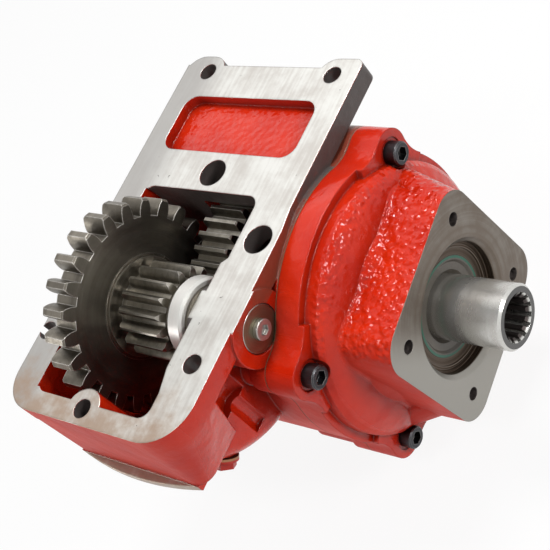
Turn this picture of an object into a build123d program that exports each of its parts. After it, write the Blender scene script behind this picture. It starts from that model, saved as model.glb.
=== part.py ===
"""Power take off unit: a flanged cast housing with a protruding driven gear and a splined output.

Frame: X runs along both shafts towards the output flange, Y along the long side of the mounting
flange, and +Z is the outward normal of the mounting face. The origin lies on the mounting face,
over the input gear's axis and midway between the two side bolts. Millimetres and degrees.
"""
from build123d import *
from math import asin, atan2, cos, degrees, pi, radians, sin, sqrt, tan
import os

os.makedirs("parts", exist_ok=True)

# Gears and shaft places
pressure_angle = 20.0
input_module = 5.0
input_teeth = 25
input_addendum = 4.5
pinion_module = 3.0
pinion_teeth = 17
pinion_shift = 0.4
output_teeth = 52
gear_backlash = 0.3
input_gear_phase = 53.1
pinion_phase = 17.4
idler_depth = 19.2
output_offset_y = 69.5
pinion_left_x = -7.9
pinion_length = 34.3
input_gear_near_x = -14.2
input_gear_width = 18.0
output_gear_left_x = -2.5
output_gear_width = 28.2

# Mounting flange
flange_thickness = 14.0
flange_left_x = -69.5
flange_right_x = 77.5
flange_right_low_x = 79.5
flange_shoulder_y = 54.0
flange_bottom_y = -88.8
flange_inset = 0.8
flange_top_y = 171.5
ear_top_y = 178.8
ear_hole_y = 166.1
ear_hole_left_x = -47.8
ear_hole_right_x = 58.4
ear_radius = 12.6
ear_corner_left_radius = 14.0
ear_corner_right_radius = 6.0
corner_left_radius = 23.0
corner_right_radius = 30.0
mount_hole_diameter = 12.5
side_hole_x = 63.6
side_hole_y = -36.6
bottom_hole_x = -0.7
bottom_hole_y = -78.5
oil_hole_diameter = 19.4
top_oil_depth = 16.0
side_oil_depth = 19.0
top_oil_x = 3.5
top_oil_y = 88.5
side_oil_x = 65.5
side_oil_y = 46.8

# Gear window and the pocket beside it
window_left_x = -46.5
window_right_x = 46.6
window_wide_x = 50.4
input_gear_clearance = 8.0
window_step_y = 28.0
window_lower_y = -42.0
window_corner_radius = 8.0
window_side_depth = 40.0
bottom_boss_radius = 13.0
pocket_left_x = -53.0
pocket_right_x = 59.0
pocket_low_y = 103.5
pocket_high_y = 146.0
pocket_depth = 7.5
pocket_corner_radius = 10.0

# Housing body
housing_wall = 8.0
chamber_left_x = -54.0
chamber_right_x = 60.0
sump_corner_z = -60.0
sump_corner_radius = 6.0
wall_corner_radius = 16.0
chamber_edge_radius = 10.0
joint_face_x = 81.0
output_chamber_left_x = -13.5
joint_wall = 7.5
output_gear_clearance = 3.7
axle_boss_radius = 23.5
inner_boss_radius = 21.0
front_boss_radius = 32.0
front_boss_left_x = -31.0
lug_radius = 15.0
barrel_radius = 13.0
barrel_length = 43.0
joint_flange_length = 12.0
bolt_spot_radius = 11.5
bolt_spot_depth = 36.0
corner_block_y = -50.0
corner_block_low_x = 61.5
corner_block_low_radius = 12.0
lip_radius = 219.0
lip_height = 5.0
lip_stand_out = 6.5
lip_middle_x = 2.0
lip_half_length = 52.0

# Idler axle and its needle bearing
axle_diameter = 30.0
axle_end_x = 80.6
axle_left_x = -66.0
axle_chamfer = 0.8
needle_diameter = 3.0
needle_count = 16
needle_length = 26.0
needle_end_ring = 2.5
fit_clearance = 0.03
thrust_washer_thickness = 2.0
thrust_washer_radius = 21.1
collar_radius = 25.1
collar_left_x = 29.7
collar_right_x = 40.6
hub_seat_radius = 31.5
hub_flange_radius = 36.0
hub_flange_width = 3.0
hub_seat_stand_out = 1.6
ring_counterbore = 1.2
neck_radius = 21.8
axial_gap = 0.1

# Output shaft, its bearings and seal
shaft_diameter = 40.0
shaft_end_x = 186.7
front_journal_diameter = 25.0
front_journal_shoulder_x = -8.0
spline_major_diameter = 28.0
spline_minor_diameter = 24.4
spline_teeth = 14
spline_depth = 42.0
drill_diameter = 18.0
drill_depth = 90.0
hub_outer_diameter = 60.0
hub_right_x = 46.0
key_width = 12.0
key_height = 8.0
key_length = 36.0
key_left_x = 4.0
key_depth_in_shaft = 5.0
sleeve_thickness = 5.0
front_bearing_outside = 52.0
front_bearing_width = 15.0
rear_bearing_outside = 80.0
rear_bearing_width = 18.0
rear_bearing_left_x = 106.0
ball_count = 9
ball_share = 0.3
running_clearance = 0.05
circlip_thickness = 1.75
circlip_height = 3.0
seal_outside = 62.0
seal_width = 9.0

# End cover and pump flange
gasket_thickness = 0.5
rim_right_x = 98.5
lug_pad_x = 102.5
lug_pad_radius = 30.0
rim_land = 10.0
pump_face_x = 149.5
pump_flange_side = 115.0
pump_flange_corner = 18.5
pump_flange_turn = 8.0
pump_bolt_spacing = 80.0
pump_hole_diameter = 8.5
pump_hole_depth = 26.0
pilot_diameter = 80.0
pilot_depth = 9.5
pilot_chamfer = 3.2
recess_step_radius = 36.0
recess_step_height = 1.5
column_left_x = 112.0
bell_shoulder_x = 116.0
column_foot_radius = 3.0
cover_wall = 8.0
screw_angles = (46.0, 150.0, 226.0, 276.0, 326.0)
lobe_blend_radius = 30.0
screw_diameter = 10.0
screw_head_diameter = 14.8
screw_head_height = 9.0
screw_socket = 8.0
screw_seat_x = 101.5
screw_length = 40.0
spot_radius = 9.6

# Smaller pieces and edges
gear_chamfer = 1.2
ring_groove_depth = 1.6
ring_stand_out = 1.6
ring_gap = 9.0
ring_gap_angle = 20.0
shaft_groove_depth = 1.2
shaft_edge = 1.5
spline_mouth = 1.8
spline_space_width = 3.1
shaft_shoulder_radius = 24.0
web_recess = 7.0
rim_thickness = 7.0
cage_clearance = 0.8
cage_half_thickness = 0.9
screw_edge = 0.8
screw_clearance_diameter = 11.0
axle_screw_diameter = 8.0
axle_screw_length = 18.0
axle_screw_head_diameter = 13.0
axle_screw_head_height = 3.2
axle_screw_socket = 6.0
axle_ring_section = 2.4
bell_step = 5.5
bell_ridge_x = 109.5
bell_ridge_step = 9.0
bell_neck_radius = 60.0
rib_start_radius = 72.0
rib_start_angle = 42.0
rib_start_width = 11.0
bearing_boss_x = 103.0
drain_x = 47.0
drain_angle = 222.0
drain_thread_diameter = 12.0
drain_thread_length = 7.5
drain_head_diameter = 19.0
drain_flange_thickness = 1.5
drain_head_height = 4.5
drain_across_flats = 14.0
drain_washer_thickness = 1.5
drain_spot_radius = 11.5

# Values worked out from the ones above
centre_distance = pinion_module * (pinion_teeth + output_teeth) / 2
idler_z = -idler_depth
input_pitch_radius = input_module * input_teeth / 2
input_tip_radius = input_pitch_radius + input_addendum
input_root_radius = input_pitch_radius - 1.25 * input_module
pinion_pitch_radius = pinion_module * pinion_teeth / 2
pinion_tip_radius = pinion_pitch_radius + pinion_module * (1 + pinion_shift)
pinion_root_radius = pinion_pitch_radius - pinion_module * (1.25 - pinion_shift)
output_pitch_radius = pinion_module * output_teeth / 2
output_tip_radius = output_pitch_radius + pinion_module * (1 - pinion_shift)
output_root_radius = output_pitch_radius - pinion_module * (1.25 + pinion_shift)
window_half_y = input_tip_radius + input_gear_clearance
output_cavity_radius = output_tip_radius + output_gear_clearance
output_chamber_radius = output_cavity_radius + joint_wall
screw_circle_radius = output_chamber_radius
bell_step_radius = screw_circle_radius - bell_step
bell_ridge_radius = screw_circle_radius - bell_ridge_step
output_y = output_offset_y
output_z = idler_z - sqrt(centre_distance**2 - output_offset_y**2)
mesh_angle = degrees(atan2(output_z - idler_z, output_y))
teeth_to_mesh = mesh_angle - (pinion_phase - 3 * 360 / pinion_teeth)
meshing_space = mesh_angle + 180 + teeth_to_mesh * pinion_teeth / output_teeth
output_gear_phase = meshing_space + 180 / output_teeth
pinion_right_x = pinion_left_x + pinion_length
output_gear_right_x = output_gear_left_x + output_gear_width
axle_radius = axle_diameter / 2
shaft_radius = shaft_diameter / 2
cluster_bore_radius = axle_radius + needle_diameter + 2 * fit_clearance
cover_left_x = joint_face_x + gasket_thickness
input_gear_far_x = input_gear_near_x - input_gear_width
hub_left_x = input_gear_far_x - hub_flange_width
hub_seat_right_x = input_gear_near_x + hub_seat_stand_out
retaining_ring_left_x = input_gear_near_x - ring_counterbore + fit_clearance
wall_y = flange_bottom_y + flange_inset
screw_end_x = screw_seat_x - screw_length
gear_cavity_radius = window_half_y
gear_chamber_radius = gear_cavity_radius + housing_wall
axle_groove_places = (window_left_x - 10, window_right_x + 12)
needle_circle_radius = (axle_radius + cluster_bore_radius) / 2
needle_row_places = (hub_left_x + needle_end_ring + 2, collar_right_x - needle_end_ring - 2 - needle_length)
front_journal_radius = front_journal_diameter / 2
front_bearing_left_x = front_journal_shoulder_x - front_bearing_width
front_bearing_middle_x = front_journal_shoulder_x - front_bearing_width / 2
front_ball_circle = (front_journal_diameter + front_bearing_outside) / 4
front_ball_radius = ball_share * (front_bearing_outside - front_journal_diameter) / 2
rear_bearing_right_x = rear_bearing_left_x + rear_bearing_width
rear_bearing_middle_x = rear_bearing_left_x + rear_bearing_width / 2
rear_ball_circle = (shaft_diameter + rear_bearing_outside) / 4
rear_ball_radius = ball_share * (rear_bearing_outside - shaft_diameter) / 2
rear_bore_radius = rear_bearing_outside / 2 + fit_clearance
seal_bore_radius = seal_outside / 2
recess_floor_x = pump_face_x - pilot_depth
bearing_clip_left_x = rear_bearing_left_x - circlip_thickness - axial_gap
corner_centre_radius = (pump_flange_side / 2 - pump_flange_corner) * sqrt(2)
spline_middle_radius = (spline_major_diameter + spline_minor_diameter) / 4
key_top_radius = shaft_radius - key_depth_in_shaft + key_height


def idler_plane(x):
    """A plane across the idler axis, with local x along Y and local y along Z."""
    return Plane(origin=(x, 0, idler_z), x_dir=(0, 1, 0), z_dir=(1, 0, 0))


def output_plane(x):
    """A plane across the output axis, with local x along Y and local y along Z."""
    return Plane(origin=(x, output_y, output_z), x_dir=(0, 1, 0), z_dir=(1, 0, 0))


idler_axis = Axis((0, 0, idler_z), (1, 0, 0))
output_axis = Axis((0, output_y, output_z), (1, 0, 0))
idler_section = Plane(origin=(0, 0, idler_z), x_dir=(1, 0, 0), z_dir=(0, -1, 0))
output_section = Plane(origin=(0, output_y, output_z), x_dir=(1, 0, 0), z_dir=(0, -1, 0))


def polar(radius, angle):
    """A point at a radius and an angle in degrees."""
    return (radius * cos(radians(angle)), radius * sin(radians(angle)))


drain_outward = polar(1, drain_angle)
drain_plane = Plane(
    origin=(
        drain_x,
        (gear_chamber_radius + drain_washer_thickness) * drain_outward[0],
        idler_z + (gear_chamber_radius + drain_washer_thickness) * drain_outward[1],
    ),
    x_dir=(1, 0, 0),
    z_dir=(0, drain_outward[0], drain_outward[1]),
)


def spur_outline(module, teeth, tip_radius, root_radius, shift, phase):
    """Draws the closed outline of a spur gear with a tooth centred on the phase angle."""
    pitch_radius = module * teeth / 2
    base_radius = pitch_radius * cos(radians(pressure_angle))
    slope = tan(radians(pressure_angle))
    half_pitch_tooth = pi / 2 / teeth + 2 * shift * slope / teeth - gear_backlash / 4 / pitch_radius

    def half_tooth(radius):
        """Half of a tooth's angle at one radius, in degrees."""
        at = max(radius, base_radius)
        turn = sqrt((at / base_radius) ** 2 - 1)
        here = turn - atan2(turn, 1)
        return degrees(half_pitch_tooth + slope - radians(pressure_angle) - here)

    middle_radius = (tip_radius + root_radius) / 2
    step = 360 / teeth
    for tooth in range(teeth):
        centre = phase + tooth * step
        root, middle, tip = half_tooth(root_radius), half_tooth(middle_radius), half_tooth(tip_radius)
        rising = (polar(root_radius, centre - root), polar(middle_radius, centre - middle))
        falling = (polar(middle_radius, centre + middle), polar(root_radius, centre + root))
        land_start = polar(tip_radius, centre - tip)
        land_end = polar(tip_radius, centre + tip)
        ThreePointArc(rising[0], rising[1], land_start)
        ThreePointArc(land_start, polar(tip_radius, centre), land_end)
        ThreePointArc(land_end, falling[0], falling[1])
        gap_middle = polar(root_radius, centre + step / 2)
        ThreePointArc(falling[1], gap_middle, polar(root_radius, centre + step - root))


# Outline that the joint's two flanges and the gasket share: a disc with a lobe round each screw
with BuildSketch(Plane.XY) as joint_outline:
    Circle(screw_circle_radius)
    for angle in screw_angles:
        with Locations(polar(screw_circle_radius, angle)):
            Circle(lug_radius)
    fillet(joint_outline.vertices(), radius=lobe_blend_radius)

# Main housing: mounting flange, gear chamber and output chamber in one casting
with BuildPart() as main_housing:
    with BuildSketch(Plane.XY) as flange_sketch:
        with BuildLine():
            Polyline(
                (flange_left_x, flange_bottom_y),
                (flange_right_low_x, flange_bottom_y),
                (flange_right_low_x, flange_shoulder_y),
                (flange_right_x, flange_shoulder_y + 2 * window_corner_radius),
                (flange_right_x, flange_top_y),
                (flange_left_x, flange_top_y),
                close=True,
            )
        make_face()
        low_corners = flange_sketch.vertices().group_by(Axis.Y)[0].sort_by(Axis.X)
        fillet(low_corners[0], radius=corner_left_radius)
        low_right = flange_sketch.vertices().group_by(Axis.Y)[0].sort_by(Axis.X)[-1]
        fillet(low_right, radius=corner_right_radius)
    extrude(amount=-flange_thickness)
    with BuildSketch(Plane.XY):
        for hole_x, side_x, corner in (
            (ear_hole_left_x, flange_left_x, ear_corner_left_radius),
            (ear_hole_right_x, flange_right_x, ear_corner_right_radius),
        ):
            with Locations((hole_x, ear_hole_y)):
                Circle(ear_radius)
            middle_x = (hole_x + side_x) / 2
            with Locations((middle_x, (ear_hole_y + ear_top_y) / 2 - corner)):
                Rectangle(abs(hole_x - side_x), ear_top_y - ear_hole_y)
            outer_sign = 1 if side_x > hole_x else -1
            with Locations((side_x - outer_sign * corner, ear_top_y - corner)):
                Circle(corner)
            with Locations(((hole_x + side_x - outer_sign * corner) / 2, (ear_hole_y + ear_top_y) / 2)):
                Rectangle(abs(hole_x - side_x) - corner, ear_top_y - ear_hole_y)
    extrude(amount=-flange_thickness)

    # gear chamber: a walled block under the flange and a drum about the idler axis
    with BuildSketch(Plane.XY.offset(-flange_thickness)) as wall_block:
        with Locations(((chamber_left_x + chamber_right_x) / 2, wall_y / 2)):
            Rectangle(chamber_right_x - chamber_left_x, -wall_y)
        fillet(wall_block.vertices().group_by(Axis.Y)[0], radius=wall_corner_radius)
    extrude(amount=sump_corner_z + flange_thickness)
    fillet(main_housing.faces().sort_by(Axis.Z)[0].edges(), radius=sump_corner_radius)
    with BuildSketch(idler_section) as drum_sketch:
        with Locations(((chamber_left_x + chamber_right_x) / 2, gear_chamber_radius / 2)):
            Rectangle(chamber_right_x - chamber_left_x, gear_chamber_radius)
        fillet(drum_sketch.vertices().group_by(Axis.Y)[-1], radius=chamber_edge_radius)
    revolve(axis=idler_axis)

    # output chamber, with its joint flange and the barrels of the cover screws
    with BuildSketch(output_section) as chamber_sketch:
        with Locations(((output_chamber_left_x + joint_face_x) / 2, output_chamber_radius / 2)):
            Rectangle(joint_face_x - output_chamber_left_x, output_chamber_radius)
        far_corner = chamber_sketch.vertices().group_by(Axis.Y)[-1].sort_by(Axis.X)[0]
        fillet(far_corner, radius=chamber_edge_radius)
    revolve(axis=output_axis)
    with BuildSketch(output_plane(joint_face_x)):
        add(joint_outline.sketch)
    extrude(amount=-joint_flange_length)
    with BuildSketch(output_plane(joint_face_x)):
        for angle in screw_angles:
            with Locations(polar(screw_circle_radius, angle)):
                Circle(barrel_radius)
    extrude(amount=-barrel_length)

    # block under the flange's lower right corner, and the bare lip under the long wall
    with BuildSketch(Plane.XY.offset(-flange_thickness)) as block_top:
        with Locations(((flange_right_low_x + window_left_x) / 2, (corner_block_y + flange_bottom_y) / 2)):
            Rectangle(flange_right_low_x - window_left_x, corner_block_y - flange_bottom_y)
        top_corner = block_top.vertices().group_by(Axis.Y)[0].sort_by(Axis.X)[-1]
        fillet(top_corner, radius=corner_right_radius)
    with BuildSketch(Plane.XY.offset(sump_corner_z)) as block_foot:
        with Locations(((corner_block_low_x + window_left_x) / 2, (corner_block_y + wall_y) / 2)):
            Rectangle(corner_block_low_x - window_left_x, corner_block_y - wall_y)
        low_corner = block_foot.vertices().group_by(Axis.Y)[0].sort_by(Axis.X)[-1]
        fillet(low_corner, radius=corner_block_low_radius)
    loft()
    with BuildSketch(Plane.XY.offset(sump_corner_z)):
        with Locations((lip_middle_x, wall_y - lip_stand_out + lip_radius)):
            Circle(lip_radius)
        with Locations((lip_middle_x, wall_y)):
            Rectangle(2 * lip_half_length, 4 * lip_stand_out, mode=Mode.INTERSECT)
    extrude(amount=-lip_height)
    with BuildSketch(idler_plane(axle_left_x)):
        Circle(axle_boss_radius)
    extrude(amount=joint_face_x - axle_left_x)

    # nothing of the casting stands above the mounting face
    with BuildSketch(Plane.XY):
        with Locations(((flange_left_x + joint_face_x) / 2, output_y)):
            Rectangle(joint_face_x - flange_left_x + 4 * lug_radius, 4 * output_chamber_radius)
    extrude(amount=gear_chamber_radius, mode=Mode.SUBTRACT)

    # cavities for the two gears
    with BuildSketch(idler_plane(window_left_x)):
        Circle(gear_cavity_radius)
    extrude(amount=window_right_x - window_left_x, mode=Mode.SUBTRACT)
    with BuildSketch(output_plane(output_chamber_left_x + housing_wall)):
        Circle(output_cavity_radius)
    extrude(amount=joint_face_x - output_chamber_left_x, mode=Mode.SUBTRACT)
    with BuildSketch(Plane.XY) as window_sketch:
        with BuildLine():
            Polyline(
                (window_left_x, -window_half_y),
                (window_wide_x, -window_half_y),
                (window_wide_x, window_lower_y - 2 * window_corner_radius),
                (window_right_x, window_lower_y),
                (window_right_x, window_step_y),
                (window_wide_x, window_step_y + window_corner_radius / 2),
                (window_wide_x, window_half_y),
                (window_left_x, window_half_y),
                close=True,
            )
        make_face()
        window_ends = window_sketch.vertices().group_by(Axis.Y)
        fillet(window_ends[0] + window_ends[-1], radius=window_corner_radius)
    extrude(amount=-window_side_depth, mode=Mode.SUBTRACT)

    # bosses that stand back inside the cavities
    with BuildSketch(Plane.XY):
        with Locations((bottom_hole_x, bottom_hole_y)):
            Circle(bottom_boss_radius)
        with Locations((bottom_hole_x, wall_y - bottom_boss_radius)):
            Rectangle(4 * bottom_boss_radius, 2 * bottom_boss_radius, mode=Mode.SUBTRACT)
    extrude(amount=sump_corner_z)
    with BuildSketch(idler_plane(window_left_x - fit_clearance)):
        Circle(inner_boss_radius)
    extrude(amount=hub_left_x - thrust_washer_thickness - 2 * axial_gap - window_left_x)
    with BuildSketch(idler_plane(joint_face_x)):
        Circle(inner_boss_radius)
    extrude(amount=collar_right_x + thrust_washer_thickness + 2 * axial_gap - joint_face_x)
    with BuildSketch(output_plane(front_boss_left_x)):
        Circle(front_boss_radius)
    extrude(amount=output_chamber_left_x + housing_wall - front_boss_left_x)

    # bores for the axle and the front bearing
    with BuildSketch(idler_plane(axle_left_x)):
        Circle(axle_radius + fit_clearance)
    extrude(amount=joint_face_x - axle_left_x, mode=Mode.SUBTRACT)
    with BuildSketch(output_plane(front_journal_shoulder_x - front_bearing_width)):
        Circle(front_bearing_outside / 2 + fit_clearance)
    extrude(amount=output_cavity_radius, mode=Mode.SUBTRACT)

    # holes through the mounting face
    with BuildSketch(Plane.XY):
        with Locations(
            (ear_hole_left_x, ear_hole_y),
            (ear_hole_right_x, ear_hole_y),
            (-side_hole_x, side_hole_y),
            (side_hole_x, side_hole_y),
            (bottom_hole_x, bottom_hole_y),
        ):
            Circle(mount_hole_diameter / 2)
    extrude(amount=sump_corner_z - idler_depth, mode=Mode.SUBTRACT)
    with BuildSketch(Plane.XY.offset(-flange_thickness)):
        with Locations((-side_hole_x, side_hole_y), (side_hole_x, side_hole_y)):
            Circle(bolt_spot_radius)
    extrude(amount=-bolt_spot_depth, mode=Mode.SUBTRACT)
    with BuildSketch(Plane.XY.offset(sump_corner_z)):
        with Locations((bottom_hole_x, bottom_hole_y)):
            Circle(bolt_spot_radius)
    extrude(amount=-2 * lip_height, mode=Mode.SUBTRACT)
    with BuildSketch(Plane.XY):
        with Locations((top_oil_x, top_oil_y)):
            Circle(oil_hole_diameter / 2)
    extrude(amount=-top_oil_depth, mode=Mode.SUBTRACT)
    with BuildSketch(Plane.XY):
        with Locations((side_oil_x, side_oil_y)):
            Circle(oil_hole_diameter / 2)
    extrude(amount=-side_oil_depth, mode=Mode.SUBTRACT)
    with BuildSketch(Plane.XY):
        with Locations(((pocket_left_x + pocket_right_x) / 2, (pocket_low_y + pocket_high_y) / 2)):
            RectangleRounded(
                pocket_right_x - pocket_left_x, pocket_high_y - pocket_low_y, pocket_corner_radius
            )
    extrude(amount=-pocket_depth, mode=Mode.SUBTRACT)
    with BuildSketch(output_plane(joint_face_x)):
        for angle in screw_angles:
            with Locations(polar(screw_circle_radius, angle)):
                Circle(screw_diameter / 2 + fit_clearance)
    extrude(amount=screw_end_x - joint_face_x - 2, mode=Mode.SUBTRACT)
    with BuildSketch(drain_plane.offset(-drain_washer_thickness)):
        Circle(drain_spot_radius)
    extrude(amount=drain_spot_radius, mode=Mode.SUBTRACT)
    with BuildSketch(drain_plane):
        Circle(drain_thread_diameter / 2 + fit_clearance)
    extrude(amount=-2 * drain_thread_length, mode=Mode.SUBTRACT)
main_housing.part.label = "main_housing"
export_step(main_housing.part, "parts/main_housing.step")

# End cover: rim, bell and pump flange in one casting
with BuildPart() as end_cover:
    with BuildSketch(output_plane(cover_left_x)):
        add(joint_outline.sketch)
    extrude(amount=rim_right_x - cover_left_x)
    for angle in screw_angles:
        with BuildSketch(output_plane(rim_right_x)):
            add(joint_outline.sketch)
            with Locations(polar(screw_circle_radius, angle)):
                Circle(lug_pad_radius, mode=Mode.INTERSECT)
        extrude(amount=lug_pad_x - rim_right_x)
    with BuildSketch(output_section):
        with BuildLine():
            Polyline(
                (cover_left_x + rim_land, 0),
                (cover_left_x + rim_land, bell_step_radius),
                (rim_right_x, bell_step_radius),
                (bell_ridge_x - 3, bell_step_radius - 0.5),
                (bell_ridge_x, bell_ridge_radius),
            )
            ThreePointArc(
                (bell_ridge_x, bell_ridge_radius),
                (column_left_x + 1.5, bell_ridge_radius - 8),
                (bell_shoulder_x, bell_neck_radius + 2),
            )
            Polyline(
                (bell_shoulder_x, bell_neck_radius + 2),
                (bell_shoulder_x + 8, bell_neck_radius - 3),
                (pump_face_x - 4, bell_neck_radius - 3),
                (pump_face_x - 4, 0),
                (cover_left_x + rim_land, 0),
            )
        make_face()
    revolve(axis=output_axis)
    with BuildSketch(output_plane(column_left_x)):
        with Locations(Location((0, 0, 0), (0, 0, pump_flange_turn))):
            RectangleRounded(pump_flange_side, pump_flange_side, pump_flange_corner)
    extrude(amount=pump_face_x - column_left_x)
    column_edges = end_cover.edges(Select.NEW)
    column_foot = [edge for edge in column_edges if edge.bounding_box().max.X < recess_floor_x]
    fillet(column_foot, radius=column_foot_radius)

    # ribs that run from the bell and from the lowest lug to the flange's corners
    with BuildSketch(output_plane(bell_ridge_x - 5)):
        with Locations(polar(rib_start_radius, rib_start_angle)):
            Circle(rib_start_width)
    with BuildSketch(output_plane(pump_face_x - 2)):
        with Locations(polar(corner_centre_radius, 45 + pump_flange_turn)):
            Circle(pump_flange_corner)
    loft()
    with BuildSketch(output_plane(rim_right_x - 2)):
        with Locations(polar(screw_circle_radius - lug_radius, screw_angles[2])):
            Circle(barrel_radius)
    with BuildSketch(output_plane(column_left_x + pump_flange_corner)):
        with Locations(polar(corner_centre_radius, 225 + pump_flange_turn)):
            Circle(pump_flange_corner - 0.5)
    loft()

    # inside: the gear's end of the bell, the bearing bore, the seal bore and the pump's pilot
    with BuildSketch(output_section):
        with BuildLine():
            Polyline(
                (cover_left_x - 1, 0),
                (cover_left_x - 1, output_cavity_radius),
                (cover_left_x + rim_land, output_cavity_radius),
                (rim_right_x + 2, output_cavity_radius - cover_wall),
                (bearing_boss_x, bell_neck_radius),
                (bearing_boss_x, 0),
                close=True,
            )
        make_face()
    revolve(axis=output_axis, mode=Mode.SUBTRACT)
    with BuildSketch(output_section):
        with BuildLine():
            Polyline(
                (bearing_boss_x - 1, 0),
                (bearing_boss_x - 1, rear_bore_radius),
                (rear_bearing_right_x, rear_bore_radius),
                (rear_bearing_right_x, seal_bore_radius),
                (recess_floor_x, seal_bore_radius),
                (recess_floor_x, recess_step_radius),
                (recess_floor_x + recess_step_height, recess_step_radius),
                (recess_floor_x + recess_step_height, pilot_diameter / 2),
                (pump_face_x - pilot_chamfer, pilot_diameter / 2),
                (pump_face_x, pilot_diameter / 2 + pilot_chamfer),
                (pump_face_x + 1, pilot_diameter / 2 + pilot_chamfer),
                (pump_face_x + 1, 0),
                close=True,
            )
        make_face()
    revolve(axis=output_axis, mode=Mode.SUBTRACT)
    with BuildSketch(output_plane(bearing_clip_left_x)):
        Circle(rear_bore_radius + circlip_height / 2)
    extrude(amount=circlip_thickness + axial_gap, mode=Mode.SUBTRACT)

    # threaded holes for the pump, clearance holes and seats for the cover screws
    with BuildSketch(output_plane(pump_face_x)):
        with Locations(Location((0, 0, 0), (0, 0, pump_flange_turn))):
            with GridLocations(pump_bolt_spacing, pump_bolt_spacing, 2, 2):
                Circle(pump_hole_diameter / 2)
    extrude(amount=-pump_hole_depth, mode=Mode.SUBTRACT)
    with BuildSketch(output_plane(cover_left_x)):
        for angle in screw_angles:
            with Locations(polar(screw_circle_radius, angle)):
                Circle(screw_clearance_diameter / 2)
    extrude(amount=rim_right_x, mode=Mode.SUBTRACT)
    with BuildSketch(output_plane(screw_seat_x)):
        for angle in screw_angles:
            with Locations(polar(screw_circle_radius, angle)):
                Circle(spot_radius)
    extrude(amount=rim_right_x, mode=Mode.SUBTRACT)
end_cover.part.label = "end_cover"
export_step(end_cover.part, "parts/end_cover.step")

# Flat gasket between the housing and the end cover
with BuildPart() as cover_gasket:
    with BuildSketch(output_plane(joint_face_x)):
        add(joint_outline.sketch)
        Circle(output_cavity_radius, mode=Mode.SUBTRACT)
        for angle in screw_angles:
            with Locations(polar(screw_circle_radius, angle)):
                Circle(screw_clearance_diameter / 2, mode=Mode.SUBTRACT)
    extrude(amount=gasket_thickness)
cover_gasket.part.label = "cover_gasket"
export_step(cover_gasket.part, "parts/cover_gasket.step")

# Five socket head cap screws of the end cover
with BuildPart() as cover_screws:
    with BuildSketch(output_plane(screw_seat_x)):
        for angle in screw_angles:
            with Locations(polar(screw_circle_radius, angle)):
                Circle(screw_head_diameter / 2)
    extrude(amount=screw_head_height)
    with BuildSketch(output_plane(screw_end_x)):
        for angle in screw_angles:
            with Locations(polar(screw_circle_radius, angle)):
                Circle(screw_diameter / 2)
    extrude(amount=screw_length)
    chamfer(cover_screws.faces().sort_by(Axis.X)[-5:].edges(), length=screw_edge)
    with BuildSketch(output_plane(screw_seat_x + screw_head_height)):
        for angle in screw_angles:
            with Locations(polar(screw_circle_radius, angle)):
                RegularPolygon(screw_socket / sqrt(3), 6)
    extrude(amount=-screw_diameter / 2, mode=Mode.SUBTRACT)
cover_screws.part.label = "cover_screws"
export_step(cover_screws.part, "parts/cover_screws.step")

# Fixed axle of the idler cluster, with two grooves for its rubber rings
with BuildPart() as idler_axle:
    with BuildSketch(idler_plane(axle_left_x)):
        Circle(axle_radius)
    extrude(amount=axle_end_x - axle_left_x)
    chamfer(idler_axle.edges().filter_by(GeomType.CIRCLE), length=axle_chamfer)
    for groove_x in axle_groove_places:
        with BuildSketch(idler_plane(groove_x)):
            Circle(axle_radius + 1)
            Circle(axle_radius - axle_ring_section, mode=Mode.SUBTRACT)
        extrude(amount=axle_ring_section + 2 * axial_gap, mode=Mode.SUBTRACT)
    with BuildSketch(idler_plane(axle_end_x)):
        Circle(axle_screw_diameter / 2 + fit_clearance)
    extrude(amount=-axle_screw_length - 2, mode=Mode.SUBTRACT)
idler_axle.part.label = "idler_axle"
export_step(idler_axle.part, "parts/idler_axle.step")

# Rubber rings that seal the axle in the housing
with BuildPart() as axle_rings:
    for groove_x in axle_groove_places:
        with BuildSketch(idler_plane(groove_x + axial_gap)):
            Circle(axle_radius)
            Circle(axle_radius - axle_ring_section + fit_clearance, mode=Mode.SUBTRACT)
        extrude(amount=axle_ring_section)
axle_rings.part.label = "axle_rings"
export_step(axle_rings.part, "parts/axle_rings.step")

# Screw in the end of the axle
with BuildPart() as axle_screw:
    with BuildSketch(idler_plane(axle_end_x)):
        Circle(axle_screw_head_diameter / 2)
    extrude(amount=axle_screw_head_height)
    chamfer(axle_screw.faces().sort_by(Axis.X)[-1].edges(), length=screw_edge / 2)
    with BuildSketch(idler_plane(axle_end_x)):
        Circle(axle_screw_diameter / 2)
    extrude(amount=-axle_screw_length)
    with BuildSketch(idler_plane(axle_end_x + axle_screw_head_height)):
        RegularPolygon(axle_screw_socket / sqrt(3), 6)
    extrude(amount=-axle_screw_head_height + 1, mode=Mode.SUBTRACT)
axle_screw.part.label = "axle_screw"
export_step(axle_screw.part, "parts/axle_screw.step")

# Two thrust washers, one at each end of the idler cluster
with BuildPart() as thrust_washer_left:
    with BuildSketch(idler_plane(hub_left_x - axial_gap - thrust_washer_thickness)):
        Circle(thrust_washer_radius)
        Circle(axle_radius + running_clearance, mode=Mode.SUBTRACT)
    extrude(amount=thrust_washer_thickness)
thrust_washer_left.part.label = "thrust_washer_left"
export_step(thrust_washer_left.part, "parts/thrust_washer_left.step")
with BuildPart() as thrust_washer_right:
    with BuildSketch(idler_plane(collar_right_x + axial_gap)):
        Circle(thrust_washer_radius)
        Circle(axle_radius + running_clearance, mode=Mode.SUBTRACT)
    extrude(amount=thrust_washer_thickness)
thrust_washer_right.part.label = "thrust_washer_right"
export_step(thrust_washer_right.part, "parts/thrust_washer_right.step")

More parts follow.
